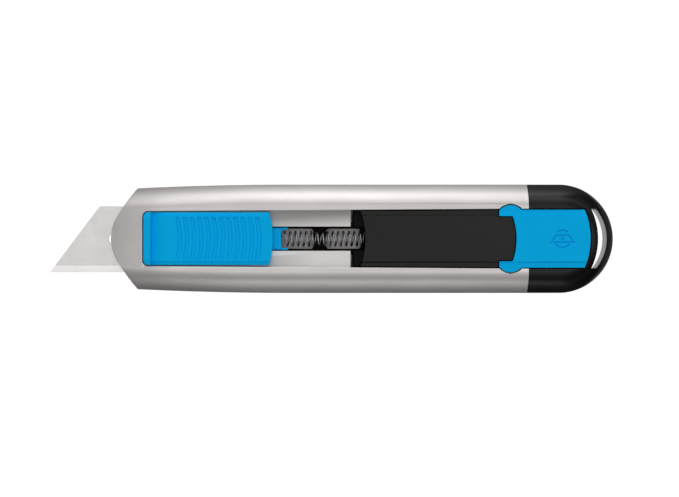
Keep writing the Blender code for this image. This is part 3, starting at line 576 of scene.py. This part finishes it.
def slider_rows():
    fillet = [FILLET * (1 - math.cos(math.pi / 2 * i / 6)) for i in range(7)]
    half = [SLIDER_HALF - value for value in fillet]
    half += [SLIDER_HALF * i / 20 for i in range(21)]
    half += [RIB_HALF + offset * MM for offset in (-0.12, -0.06, -0.02, 0.04)]
    half += [CREASE_Y + offset * MM for offset in (-0.1, -0.06, -0.03, 0.0, 0.03, 0.06, 0.1)]
    half = spread(half)
    return [-y for y in reversed(half[1:])] + half


def make_thumb_slider(material):
    """A grid over the face that follows the outline, with walls and an underside."""
    stations, rows = slider_stations(), slider_rows()
    shape = bmesh.new()
    grid = []
    for along in stations:
        ahead = max(0.0, SLIDER_FRONT + SLIDER_CORNER - along)
        width = SLIDER_HALF - SLIDER_CORNER + math.sqrt(max(0.0, SLIDER_CORNER ** 2 - ahead ** 2))
        bowed = smooth_step(along, DISH_REAR, RIB_FIELD_FRONT)
        column = []
        for y in rows:
            inner = SLIDER_HALF - SLIDER_CORNER - 0.1 * MM
            placed = y
            if abs(y) > inner:
                scaled = inner + (abs(y) - inner) * (width - inner) / (SLIDER_HALF - inner)
                placed = math.copysign(scaled, y)
            sag = SLIDER_REAR_RADIUS - math.sqrt(SLIDER_REAR_RADIUS ** 2 - y ** 2)
            edge = min(SLIDER_HALF - abs(y), along - SLIDER_FRONT, SLIDER_REAR - along)
            inset = max(0.0, FILLET - edge)
            drop = FILLET - math.sqrt(max(0.0, FILLET ** 2 - inset ** 2))
            height = slider_height(along, y) - drop
            column.append(shape.verts.new((along - bowed * sag, placed, height)))
        grid.append(column)
    for near, far in zip(grid, grid[1:]):
        for j in range(len(rows) - 1):
            shape.faces.new((near[j], far[j], far[j + 1], near[j + 1]))
    rim = grid[0] + [column[-1] for column in grid[1:]] + grid[-1][-2::-1]
    rim += [column[0] for column in reversed(grid[1:-1])]
    lower = [shape.verts.new((v.co.x, v.co.y, SLIDER_BOTTOM)) for v in rim]
    for i in range(len(rim)):
        j = (i + 1) % len(rim)
        shape.faces.new((rim[i], rim[j], lower[j], lower[i]))
    shape.faces.new(lower)
    slider = make_object("slider_grip", shape)
    slider.data.shade_smooth()
    slider.data.set_sharp_from_angle(angle=math.radians(50))
    place(slider, "slider", material, ["thumb_slider"])


# Cover and key ------------------------------------------------------------------------------------

def creased_section(x, half, bottom, top):
    """A plate's cross-section: a flat middle, a small step down, and edges that fall away a little."""
    right = [(half, bottom), (half, top - CREASE_STEP - PLATE_EDGE_FALL)]
    right += [(CREASE_Y + CREASE_WIDTH, top - CREASE_STEP), (CREASE_Y, top)]
    return [(x, y, z) for y, z in right] + [(x, -y, z) for y, z in reversed(right)]


def cover_outline():
    wide = RECESS_HALF_REAR + OVERRUN
    front = bow(COVER_FRONT, COVER_FRONT_RADIUS, wide)
    shoulder = KEY_FRONT - GAP
    tongue = bow(KEY_FORK_REAR - GAP, COVER_TONGUE_RADIUS, COVER_TONGUE_HALF)
    upper = [(shoulder, wide), (shoulder, COVER_TONGUE_HALF)]
    return front + upper + tongue[::-1] + [(x, -y) for x, y in reversed(upper)]


def make_cover(material):
    loops = []
    for x in (COVER_FRONT - 3 * OVERRUN, KEY_FORK_REAR + OVERRUN):
        loops.append(creased_section(x, recess_half_width(x) - GAP, COVER_BOTTOM, COVER_TOP))
    cover = make_object("cover", loft(loops))
    channel_xs = (COVER_FRONT - 4 * OVERRUN, CHANNEL_REAR)
    channel_zs = (COVER_BOTTOM - OVERRUN, COVER_CHANNEL_TOP)
    carve(cover, [
        ("INTERSECT", prism(cover_outline(), COVER_BOTTOM - OVERRUN, COVER_TOP + OVERRUN)),
        ("DIFFERENCE", box(channel_xs, across(SLOT_HALF), channel_zs)),
    ])
    soften(cover, 0.1 * MM)
    place(cover, "handle", material, ["insert_cover"])


def key_outline():
    """Two ears with round outer bulges, a fork between them, and a bowed rear edge."""
    fork = bow(KEY_FORK_REAR, COVER_TONGUE_RADIUS, KEY_FORK_HALF)
    upper = [(KEY_FRONT, KEY_FORK_HALF)] + ear_outline(0.0)
    lower = [(x, -y) for x, y in reversed(upper)]
    rear = bow(KEY_REAR, KEY_REAR_RADIUS, KEY_HALF)
    return fork + upper + rear[::-1] + lower


def key_ramp():
    """What is cut from the key's face: a low area round the fork, with a bowed ramp up behind it."""
    loops = []
    clear = 0.02 * MM
    for i in range(33):
        y = (KEY_HALF + 2 * OVERRUN) * (i / 16 - 1)
        sag = KEY_REAR_RADIUS - math.sqrt(KEY_REAR_RADIUS ** 2 - y ** 2)
        loop = [(KEY_FRONT - 2 * OVERRUN, y, KEY_TOP - RAMP_DROP)]
        for j in range(13):
            share = j / 12
            x = RAMP_FRONT + (RAMP_REAR - RAMP_FRONT) * share - sag
            drop = (RAMP_DROP + clear) * (1 - smooth_step(share, 0, 1))
            loop.append((x, y, KEY_TOP + clear - drop))
        loop.append((RAMP_REAR - sag, y, KEY_TOP + OVERRUN))
        loop.append((KEY_FRONT - 2 * OVERRUN, y, KEY_TOP + OVERRUN))
        loops.append(loop)
    return loft(loops)


def band(centre, inner, outer, start, end, steps=20):
    """A strip between two arcs round a centre."""
    far = arc(centre[0], centre[1], outer, start, end, steps)
    return far + arc(centre[0], centre[1], inner, end, start, steps)


def ring_prism(outer, inner, bottom, top):
    """The space between two outlines that have the same count of points."""
    shape = bmesh.new()
    rings = []
    for outline, z in ((outer, bottom), (outer, top), (inner, top), (inner, bottom)):
        rings.append([shape.verts.new((x, y, z)) for x, y in outline])
    count = len(outer)
    for k in range(4):
        near, far = rings[k], rings[(k + 1) % 4]
        for i in range(count):
            j = (i + 1) % count
            shape.faces.new((near[i], near[j], far[j], far[i]))
    return shape


def key_mark():
    """An engraved sign for changing the blade: a plain trapezoid with a dot, between two arcs."""
    floor, top = KEY_TOP - MARK_DEPTH, KEY_TOP + OVERRUN
    cx, cy = MARK_CENTRE
    stroke = MARK_STROKE
    short, long = MARK_HALF_LENGTHS
    low, high = MARK_YS
    outer = [(cx - long, cy + low), (cx + long, cy + low), (cx + short, cy + high), (cx - short, cy + high)]
    slim, wide = short - 0.5 * stroke, long - 2.0 * stroke
    inner = [(cx - wide, cy + low + stroke), (cx + wide, cy + low + stroke),
             (cx + slim, cy + high - stroke), (cx - slim, cy + high - stroke)]
    shapes = [ring_prism(outer, inner, floor, top)]
    shapes.append(turned((cx, cy, 0.0), [(floor, MARK_DOT_RADIUS), (top, MARK_DOT_RADIUS)], "Z", 24))
    for middle, half_turn in MARK_ARCS:
        start, end = middle - half_turn, middle + half_turn
        strip = band((cx, cy), MARK_ARC_RADIUS, MARK_ARC_RADIUS + stroke, start, end)
        shapes.append(prism(strip, floor, top))
    return joined(shapes)


def make_key(material):
    wide = EAR_Y + EAR_RADIUS + OVERRUN
    loops = [creased_section(x, wide, KEY_BOTTOM, KEY_TOP) for x in (KEY_FRONT - OVERRUN, KEY_REAR + OVERRUN)]
    key = make_object("key_plate", loft(loops))
    lug_xs = (PIVOT_X - 2 * MM, PIVOT_X + 2 * MM)
    bore = [(-KEY_HALF - OVERRUN, PIVOT_RADIUS + GAP), (KEY_HALF + OVERRUN, PIVOT_RADIUS + GAP)]
    carve(key, [
        ("INTERSECT", prism(key_outline(), KEY_BOTTOM - OVERRUN, KEY_TOP + OVERRUN)),
        ("UNION", box(lug_xs, across(KEY_LUG_HALF), (KEY_LUG_BOTTOM, KEY_BOTTOM + OVERRUN))),
        ("DIFFERENCE", turned((PIVOT_X, 0.0, PIVOT_Z), bore, "Y", 32)),
        ("DIFFERENCE", key_ramp()),
    ])
    bevel(key, 0.06 * MM, 2)
    carve(key, [("DIFFERENCE", key_mark())])
    shade(key)
    place(key, "key", material, ["release_key"])


# End cap ------------------------------------------------------------------------------------------

def cap_loop(reach, z):
    """The cap's outline at one height of its rounded edge: straight sides and a round rear."""
    rear = arc(CAP_CENTRE, 0.0, reach, -90, 90, 72)
    return [(x, y, z) for x, y in [(CAP_FRONT, -reach)] + rear + [(CAP_FRONT, reach)]]


def make_end_cap(material):
    loops = [cap_loop(reach, z) for reach, z in edge_profile(HALF_WIDTH, MID_Z)]
    cap = make_object("cap", loft(loops))
    front_x = CAP_FRONT - OVERRUN
    well_rear = bow(KEY_REAR + GAP, KEY_REAR_RADIUS + GAP, KEY_WELL_HALF)
    well = [(front_x, -KEY_WELL_HALF)] + well_rear + [(front_x, KEY_WELL_HALF)]
    open_y = SLOT_END_Y + GAP
    rear_x = HALF_LENGTH + OVERRUN
    opening = bow(WEB_REAR, WEB_RADIUS, open_y) + [(rear_x, open_y), (rear_x, -open_y)]
    peg, pivot = BAR_PEG_Y + 0.2 * MM, PIVOT_HALF + 0.4 * MM
    pocket_zs = (BASE_BOTTOM - GAP, TONGUE_TOP + GAP)
    head, shank = SCREW_HEAD_RADIUS + 0.15 * MM, SCREW_RADIUS + GAP
    seat = [(-OVERRUN, head), (SCREW_SEAT_STRAIGHT, head), (SCREW_SEAT_DEPTH, shank), (BASE_BOTTOM, shank)]
    peg_hole = [(y, BAR_PEG_RADIUS + GAP) for y in across(peg)]
    pivot_hole = [(y, PIVOT_RADIUS + GAP) for y in across(pivot)]
    steps = [
        ("DIFFERENCE", prism(well, KEY_WELL_BOTTOM, THICKNESS + OVERRUN)),
        ("DIFFERENCE", prism(opening, -OVERRUN, THICKNESS + OVERRUN)),
        ("DIFFERENCE", turned((BAR_PEG_X, 0.0, MID_Z), peg_hole, "Y", 24)),
        ("DIFFERENCE", turned((PIVOT_X, 0.0, PIVOT_Z), pivot_hole, "Y", 24)),
        ("DIFFERENCE", box((front_x, TONGUE_REAR + GAP), across(TONGUE_HALF + GAP), pocket_zs)),
    ]
    for x in SCREW_XS.values():
        steps.append(("DIFFERENCE", turned((x, 0.0, 0.0), seat, "Z", 40)))
    carve(cap, steps)
    soften(cap, 0.12 * MM)
    place(cap, "handle", material, ["end_cap"])


def make_lanyard_bar(material):
    """A bow that closes the rear of the lanyard slot, with a peg at each end."""
    loops = []
    profile = edge_profile(HALF_WIDTH, BAR_THINNING * MID_Z)
    for i in range(49):
        turn = BAR_TURN * (i / 24 - 1)
        loops.append([(CAP_CENTRE + r * math.cos(turn), r * math.sin(turn), z) for r, z in profile])
    bar = make_object("cord_bar", loft(loops))
    heights = (-OVERRUN, THICKNESS + OVERRUN)
    half = SLOT_END_Y + GAP - 0.03 * MM
    steps = [("INTERSECT", box((CAP_CENTRE, HALF_LENGTH + OVERRUN), across(half), heights)),
             ("DIFFERENCE", prism(arc(CAP_CENTRE, 0.0, BAR_INNER, -60, 60, 80), *heights))]
    for side in (1, -1):
        peg = [(y, BAR_PEG_RADIUS) for y in sorted((side * BAR_PEG_START_Y, side * BAR_PEG_Y))]
        steps.append(("UNION", turned((BAR_PEG_X, 0.0, MID_Z), peg, "Y", 24)))
    carve(bar, steps)
    soften(bar, 0.12 * MM)
    place(bar, "handle", material, ["lanyard_bar"])


def make_cap_screws(material):
    """Countersunk screws with hexagonal sockets and a chamfered rim."""
    z = SCREW_HEAD_Z
    socket_ends = (z - 0.5 * MM, z + 0.9 * MM)
    profile = [(z, SCREW_HEAD_RADIUS - 0.15 * MM), (z + 0.12 * MM, SCREW_HEAD_RADIUS),
               (z + 0.3 * MM, SCREW_HEAD_RADIUS), (z + 1.3 * MM, SCREW_RADIUS)]
    thread_z = z + 1.5 * MM
    while thread_z < SCREW_END_Z - 0.6 * MM:
        profile += [(thread_z, SCREW_RADIUS), (thread_z + 0.2 * MM, SCREW_RADIUS - THREAD_DEPTH),
                    (thread_z + 0.4 * MM, SCREW_RADIUS)]
        thread_z += THREAD_PITCH
    profile += [(SCREW_END_Z - 0.1 * MM, SCREW_RADIUS), (SCREW_END_Z, SCREW_RADIUS - 0.2 * MM)]
    for label, x in SCREW_XS.items():
        screw = make_object("screw_" + label, turned((x, 0.0, 0.0), profile, "Z", 40))
        socket = turned((x, 0.0, 0.0), [(end, SCREW_SOCKET_RADIUS) for end in socket_ends], "Z", 6)
        carve(screw, [("DIFFERENCE", socket)])
        soften(screw, 0.05 * MM, 2)
        place(screw, "handle", material, ["cap_screw_" + label])


# Blade and springs --------------------------------------------------------------------------------

def make_blade(material, ground_material):
    """A trapezoid plate, ground on both sides along its longer edge, with three holes."""
    half = BLADE_THICKNESS / 2
    slant = BLADE_SLANT / (BLADE_SPINE_Y - BLADE_EDGE_Y)
    loops = []
    for y, z in ((BLADE_EDGE_Y, BLADE_EDGE_THICKNESS / 2), (BLADE_GRIND_Y, half), (BLADE_SPINE_Y, half)):
        inset = (y - BLADE_EDGE_Y) * slant
        front, rear = -HALF_LENGTH + inset, BLADE_REAR - inset
        low, high = BLADE_Z - z, BLADE_Z + z
        loops.append([(front, y, low), (rear, y, low), (rear, y, high), (front, y, high)])
    blade = make_object("blade", loft(loops))
    holes = []
    for i in (-1, 0, 1):
        centre = ((BLADE_REAR - HALF_LENGTH) / 2 + i * BLADE_HOLE_PITCH, 0.0, BLADE_Z)
        holes.append(turned(centre, [(-OVERRUN, BLADE_HOLE_RADIUS), (OVERRUN, BLADE_HOLE_RADIUS)], "Z", 64))
    carve(blade, [("DIFFERENCE", joined(holes))])
    soften(blade, 0.04 * MM, 2)
    place(blade, "slider", material, ["trapezoid_blade"])
    second_material(blade, ground_material, lambda middle, normal: middle.y < BLADE_GRIND_Y)


def tube(points, radius, sides=10):
    """A round wire along points, with closed ends."""
    shape = bmesh.new()
    points = [Vector(point) for point in points]
    side = None
    rings = []
    for i, point in enumerate(points):
        ahead = points[min(i + 1, len(points) - 1)] - points[max(i - 1, 0)]
        ahead.normalize()
        if side is None:
            side = ahead.cross(Vector((0.0, 0.0, 1.0))).normalized()
        side = (side - ahead * side.dot(ahead)).normalized()
        up = ahead.cross(side)
        ring = []
        for j in range(sides):
            turn = 2 * math.pi * j / sides
            ring.append(shape.verts.new(point + radius * (math.cos(turn) * side + math.sin(turn) * up)))
        rings.append(ring)
    for near, far in zip(rings, rings[1:]):
        for i in range(sides):
            j = (i + 1) % sides
            shape.faces.new((near[i], near[j], far[j], far[i]))
    shape.faces.new(rings[0])
    shape.faces.new(rings[-1])
    return shape


def hook_points(pin_x, direction):
    """Three quarters of a turn round a pin, starting on its far side from the coil."""
    points = []
    for i in range(19):
        angle = math.radians(15 * i)
        x = pin_x + direction * SPRING_HOOK * math.cos(angle)
        points.append((x, SPRING_HOOK * math.sin(angle), SPRING_Z))
    return points


def make_return_spring(material):
    """The coil, on the handle, and its two hooks, the front one riding the slider."""
    front = SPRING_FRONT_PIN + SPRING_HOOK + SPRING_LEAD
    rear = SPRING_REAR_PIN - SPRING_HOOK - SPRING_LEAD
    coil = []
    last = SPRING_TURNS * 24
    for i in range(last + 1):
        angle = 2 * math.pi * i / 24
        y, z = SPRING_RADIUS * math.cos(angle), SPRING_Z + SPRING_RADIUS * math.sin(angle)
        coil.append((front + (rear - front) * i / last, y, z))
    ends = {
        "front": ("slider", hook_points(SPRING_FRONT_PIN, 1)[::-1] + coil[:1]),
        "rear": ("handle", coil[-1:] + hook_points(SPRING_REAR_PIN, -1)),
    }
    for label, (body, points) in ends.items():
        hook = make_object("spring_hook_" + label, tube(points, SPRING_WIRE))
        hook.data.shade_smooth()
        place(hook, body, material)
    spring = make_object("coil_spring", tube(coil, SPRING_WIRE))
    spring.data.shade_smooth()
    place(spring, "handle", material, ["return_spring"])
    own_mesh(spring)


def make_leaf_spring(material):
    """A bent strip under the rear of the key."""
    upper, lower = [], []
    for i in range(25):
        share = i / 24
        x = LEAF_FRONT + (LEAF_REAR - LEAF_FRONT) * share
        z = LEAF_LOW + (LEAF_HIGH - LEAF_LOW) * smooth_step(share, 0.3, 0.86)
        lower.append((x, z))
        upper.append((x, z + LEAF_THICKNESS))
    outline = lower + upper[::-1]
    leaf = make_object("leaf_spring", loft([[(x, y, z) for x, z in outline] for y in across(LEAF_HALF)]))
    soften(leaf, 0.05 * MM, 2, 50)
    place(leaf, "handle", material, ["key_leaf_spring"])
    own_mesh(leaf)


# Materials ----------------------------------------------------------------------------------------

class Maker:
    """A Principled material whose colour, roughness and bump come from object-space noise."""

    def __init__(self, name, roughness, metallic=0.0, specular=0.5):
        self.material = bpy.data.materials.new(name)
        self.material.use_nodes = True
        self.nodes = self.material.node_tree.nodes
        self.links = self.material.node_tree.links
        self.shader = self.nodes["Principled BSDF"]
        self.shader.inputs["Metallic"].default_value = metallic
        self.shader.inputs["Roughness"].default_value = roughness
        self.shader.inputs["Specular IOR Level"].default_value = specular
        self.place = self.nodes.new("ShaderNodeTexCoord").outputs["Object"]

    def link(self, source, target):
        self.links.new(source, target)

    def noise(self, scale, detail=3.0, rough=0.5):
        """Noise of a feature size in metres along X, Y and Z."""
        stretch = self.nodes.new("ShaderNodeMapping")
        stretch.inputs["Scale"].default_value = [1 / value for value in scale]
        self.link(self.place, stretch.inputs["Vector"])
        texture = self.nodes.new("ShaderNodeTexNoise")
        texture.inputs["Scale"].default_value = 1.0
        texture.inputs["Detail"].default_value = detail
        texture.inputs["Roughness"].default_value = rough
        self.link(stretch.outputs["Vector"], texture.inputs["Vector"])
        return texture.outputs["Fac"]

    def ranged(self, source, low, high, start=0.3, end=0.7):
        """Map a value from (start, end) to (low, high)."""
        node = self.nodes.new("ShaderNodeMapRange")
        node.inputs["From Min"].default_value = start
        node.inputs["From Max"].default_value = end
        node.inputs["To Min"].default_value = low
        node.inputs["To Max"].default_value = high
        self.link(source, node.inputs["Value"])
        return node.outputs["Result"]

    def mixed(self, share, first, second):
        """Mix two colours, each a socket or a tuple, by a share."""
        node = self.nodes.new("ShaderNodeMix")
        node.data_type = "RGBA"
        for colour, socket in ((first, node.inputs["A"]), (second, node.inputs["B"])):
            if isinstance(colour, tuple):
                socket.default_value = (*colour, 1.0)
            else:
                self.link(colour, socket)
        self.link(share, node.inputs["Factor"])
        return node.outputs["Result"]

    def edges(self, start, end):
        """1 on worn outer edges, 0 elsewhere."""
        geometry = self.nodes.new("ShaderNodeNewGeometry")
        return self.ranged(geometry.outputs["Pointiness"], 0.0, 1.0, start, end)

    def bump(self, source, depth, below=None):
        node = self.nodes.new("ShaderNodeBump")
        node.inputs["Strength"].default_value = 1.0
        node.inputs["Distance"].default_value = depth
        self.link(source, node.inputs["Height"])
        if below is not None:
            self.link(below, node.inputs["Normal"])
        return node.outputs["Normal"]

    def finish(self, colour, roughness, normal):
        self.link(colour, self.shader.inputs["Base Color"])
        self.link(roughness, self.shader.inputs["Roughness"])
        self.link(normal, self.shader.inputs["Normal"])
        return self.material


def anodised_aluminium(name, dark, light, roughness):
    """Extruded, finely blasted and anodised: drawn lines along X under a fine grain."""
    m = Maker(name, roughness, METAL_SHARE)
    lines = m.noise((30 * MM, 0.12 * MM, 0.12 * MM), 4.0, 0.6)
    grain = m.noise((0.09 * MM, 0.09 * MM, 0.09 * MM), 2.0, 0.6)
    cloud = m.noise((14 * MM, 9 * MM, 9 * MM), 3.0)
    base = m.mixed(m.ranged(cloud, 0.0, 1.0), dark, light)
    worn = m.mixed(m.edges(0.53, 0.60), base, (0.78, 0.77, 0.76))
    rough = m.ranged(lines, roughness - 0.04, roughness + 0.05)
    normal = m.bump(lines, 0.0012 * MM)
    normal = m.bump(grain, 0.0016 * MM, normal)
    return m.finish(worn, rough, normal)


def moulded_plastic(name, dark, light, roughness, specular, grain_size, grain_depth, wear):
    """Moulded plastic: a fine sparked grain, slow variation, hair scratches and paler edges."""
    m = Maker(name, roughness, 0.0, specular)
    grain = m.noise((grain_size,) * 3, 2.0, 0.6)
    cloud = m.noise((11 * MM, 8 * MM, 8 * MM), 3.0)
    hair = m.noise((6 * MM, 0.10 * MM, 0.4 * MM), 2.0, 0.4)
    base = m.mixed(m.ranged(cloud, 0.0, 1.0), dark, light)
    worn = m.mixed(m.edges(0.54, 0.66), base, wear)
    rough = m.ranged(hair, roughness - 0.05, roughness + 0.06)
    normal = m.bump(grain, grain_depth)
    normal = m.bump(hair, 0.0006 * MM, normal)
    return m.finish(worn, rough, normal)


def steel(name, dark, light, roughness, line_size, line_depth):
    """Metal with fine drawn or ground lines."""
    m = Maker(name, roughness, 1.0)
    lines = m.noise(line_size, 4.0, 0.6)
    cloud = m.noise((5 * MM, 6 * MM, 6 * MM), 3.0)
    base = m.mixed(m.ranged(cloud, 0.0, 1.0), dark, light)
    rough = m.ranged(lines, roughness - 0.05, roughness + 0.07)
    return m.finish(base, rough, m.bump(lines, line_depth))


# Scene --------------------------------------------------------------------------------------------

def node_value(links, node, *inputs):
    """Feed a node's inputs in order, each a socket or a number, and return its first output."""
    for value, socket in zip(inputs, node.inputs):
        if isinstance(value, (int, float)):
            socket.default_value = value
        else:
            links.new(value, socket)
    return node.outputs[0]


def curve_ramp(nodes, links, source, stops, peak, unit):
    """A brightness that follows (value, brightness) stops over a source socket."""
    low, high = stops[0][0], stops[-1][0]
    spread_out = nodes.new("ShaderNodeMapRange")
    node_value(links, spread_out, source, low * unit, high * unit)
    ramp = nodes.new("ShaderNodeValToRGB")
    elements = ramp.color_ramp.elements
    elements.remove(elements[-1])
    for i, (value, level) in enumerate(stops):
        position = (value - low) / (high - low)
        element = elements[0] if i == 0 else elements.new(position)
        element.position = position
        element.color = (level / peak, level / peak, level / peak, 1.0)
    links.new(spread_out.outputs[0], ramp.inputs[0])
    return ramp.outputs[0]


def multiplied(nodes, links, first, second):
    node = nodes.new("ShaderNodeMath")
    node.operation = "MULTIPLY"
    return node_value(links, node, first, second)


def dome_product(nodes, links, across_y, along_x):
    """The product of two brightness curves, each given as (source, stops, peak, unit)."""
    first = curve_ramp(nodes, links, *across_y)
    second = curve_ramp(nodes, links, *along_x)
    level = multiplied(nodes, links, first, second)
    return multiplied(nodes, links, level, across_y[2] * along_x[2])


def seen_white(nodes, links, level):
    """1 to the camera, and the level to everything else."""
    node = nodes.new("ShaderNodeMix")
    links.new(nodes.new("ShaderNodeLightPath").outputs["Is Camera Ray"], node.inputs["Factor"])
    links.new(level, node.inputs["A"])
    node.inputs["B"].default_value = 1.0
    return node.outputs["Result"]


def make_light():
    """A soft studio dome: brightest at the +Y horizon, dim towards -Y and both ends."""
    world = bpy.data.worlds.new("studio")
    bpy.context.scene.world = world
    world.use_nodes = True
    nodes, links = world.node_tree.nodes, world.node_tree.links
    direction = nodes.new("ShaderNodeSeparateXYZ")
    links.new(nodes.new("ShaderNodeTexCoord").outputs["Generated"], direction.inputs[0])
    lean = nodes.new("ShaderNodeMath")
    lean.operation = "ARCTAN2"
    node_value(links, lean, direction.outputs["Y"], direction.outputs["Z"])
    level = dome_product(nodes, links, (lean.outputs[0], DOME_ACROSS, DOME_PEAK, math.radians(1)),
                         (direction.outputs["X"], DOME_ALONG, DOME_ALONG_PEAK, 1.0))
    background = nodes["Background"]
    background.inputs["Color"].default_value = (1.0, 0.985, 0.978, 1.0)
    links.new(seen_white(nodes, links, level), background.inputs["Strength"])


def make_floor():
    """White paper: plain white to the camera; to everything else it glows with painted light and painted
    contact shadow, which the knife mirrors.
    """
    shape = bmesh.new()
    bmesh.ops.create_grid(shape, x_segments=2, y_segments=2, size=3.0)
    bmesh.ops.translate(shape, verts=shape.verts, vec=(0, 0, cad_low.z - 0.05 * MM))
    floor = make_object("floor", shape)
    material = bpy.data.materials.new("white_floor")
    material.use_nodes = True
    nodes, links = material.node_tree.nodes, material.node_tree.links
    shader = nodes["Principled BSDF"]
    shader.inputs["Base Color"].default_value = (0.02, 0.02, 0.02, 1.0)
    shader.inputs["Roughness"].default_value = 0.9
    shader.inputs["Emission Color"].default_value = (1.0, 1.0, 1.0, 1.0)
    position = nodes.new("ShaderNodeSeparateXYZ")
    links.new(nodes.new("ShaderNodeTexCoord").outputs["Object"], position.inputs[0])
    # Painted light and painted contact shadow: the glow that the knife mirrors follows FLOOR_ACROSS and
    # FLOOR_ALONG.
    level = dome_product(nodes, links, (position.outputs["Y"], FLOOR_ACROSS, FLOOR_PEAK, MM),
                         (position.outputs["X"], FLOOR_ALONG, 1.0, MM))
    links.new(seen_white(nodes, links, level), shader.inputs["Emission Strength"])
    floor.data.materials.append(material)


def make_camera():
    data = bpy.data.cameras.new("camera")
    data.sensor_width = SENSOR_WIDTH
    data.lens = LENS
    camera = bpy.data.objects.new("camera", data)
    camera.location = (CAMERA_X, CAMERA_Y, MID_Z + CAMERA_DISTANCE)
    bpy.context.scene.collection.objects.link(camera)
    bpy.context.scene.camera = camera
    bpy.context.scene.view_settings.view_transform = "Standard"


def build():
    aluminium = anodised_aluminium("satin_aluminium_fine", (0.60, 0.579, 0.571), (0.65, 0.628, 0.62), 0.38)
    # Painted shade: a darker copy of the housing's aluminium for the recess floor, standing in for the shade
    # in the recess.
    floor = anodised_aluminium("recess_floor_painted_shade_fine", (0.345, 0.338, 0.332), (0.375, 0.368, 0.362), 0.5)
    blue = moulded_plastic("blue_plastic_fine", (0.0, 0.495, 0.99), (0.0, 0.51, 1.0), 0.45, 0.04,
                           0.16 * MM, 0.002 * MM, (0.0, 0.54, 1.0))
    cover = moulded_plastic("cover_plastic_fine", (0.0075, 0.007, 0.0066), (0.0095, 0.009, 0.0085), 0.5, 0.29,
                            0.14 * MM, 0.004 * MM, (0.011, 0.0105, 0.01))
    cap = moulded_plastic("cap_plastic_fine", (0.002, 0.0019, 0.0019), (0.003, 0.0028, 0.0028), 0.24, 0.22,
                          0.2 * MM, 0.001 * MM, (0.012, 0.011, 0.011))
    # Painted shade: the insert's black plastic, darker and nearly without sheen, for the inner pieces that
    # sit in shade.
    shaded_black = moulded_plastic("black_plastic_painted_shade_fine", (0.003, 0.0028, 0.0028), (0.004, 0.0037, 0.0037), 0.5, 0.06,
                            0.16 * MM, 0.003 * MM, (0.01, 0.009, 0.009))
    flat = steel("blade_steel_fine", (0.55, 0.54, 0.535), (0.61, 0.60, 0.595), 0.3,
                 (20 * MM, 0.07 * MM, 0.07 * MM), 0.0008 * MM)
    ground = steel("blade_ground_fine", (0.88, 0.875, 0.87), (0.92, 0.915, 0.91), 0.42,
                   (0.08 * MM, 20 * MM, 0.08 * MM), 0.002 * MM)
    stamped = steel("clamp_steel_fine", (0.5, 0.5, 0.51), (0.58, 0.58, 0.59), 0.35,
                    (8 * MM, 0.1 * MM, 0.1 * MM), 0.0015 * MM)
    wire = steel("spring_steel_fine", (0.38, 0.38, 0.39), (0.48, 0.48, 0.49), 0.2,
                 (0.3 * MM, 0.3 * MM, 0.3 * MM), 0.001 * MM)
    dark_pin = steel("pin_steel_fine", (0.05, 0.05, 0.052), (0.08, 0.08, 0.083), 0.35,
                     (0.3 * MM, 0.3 * MM, 0.3 * MM), 0.001 * MM)
    screw = steel("screw_steel_fine", (0.42, 0.42, 0.43), (0.52, 0.52, 0.53), 0.3,
                  (0.2 * MM, 0.2 * MM, 0.2 * MM), 0.001 * MM)
    make_housing(aluminium, floor)
    make_thumb_slider(blue)
    make_cover(cover)
    make_key(blue)
    make_end_cap(cap)
    make_lanyard_bar(cap)
    make_cap_screws(screw)
    make_blade(flat, ground)
    make_return_spring(wire)
    make_leaf_spring(wire)
    kept = {
        # The inner rails, chassis and carrier take the darkened black: painted shade.
        shaded_black: ["guide_rail_upper", "guide_rail_lower", "insert_chassis", "blade_carrier"],
        blue: ["slider_core"],
        stamped: ["blade_clamp"],
        wire: ["clamp_hinge_pin", "blade_pin_front", "blade_pin_rear"],
        dark_pin: ["key_pivot_pin", "spring_rear_pin", "spring_front_pin"],
    }
    for material, names in kept.items():
        for name in names:
            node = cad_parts[name]
            node.data.materials.clear()
            node.data.materials.append(material)
            edges = node.modifiers.new("soft_edges", "BEVEL")
            edges.width = EDGE_BEVEL
            edges.segments = 2
            edges.limit_method = "ANGLE"
            edges.angle_limit = math.radians(40)
    make_floor()
    make_light()
    make_camera()


build()
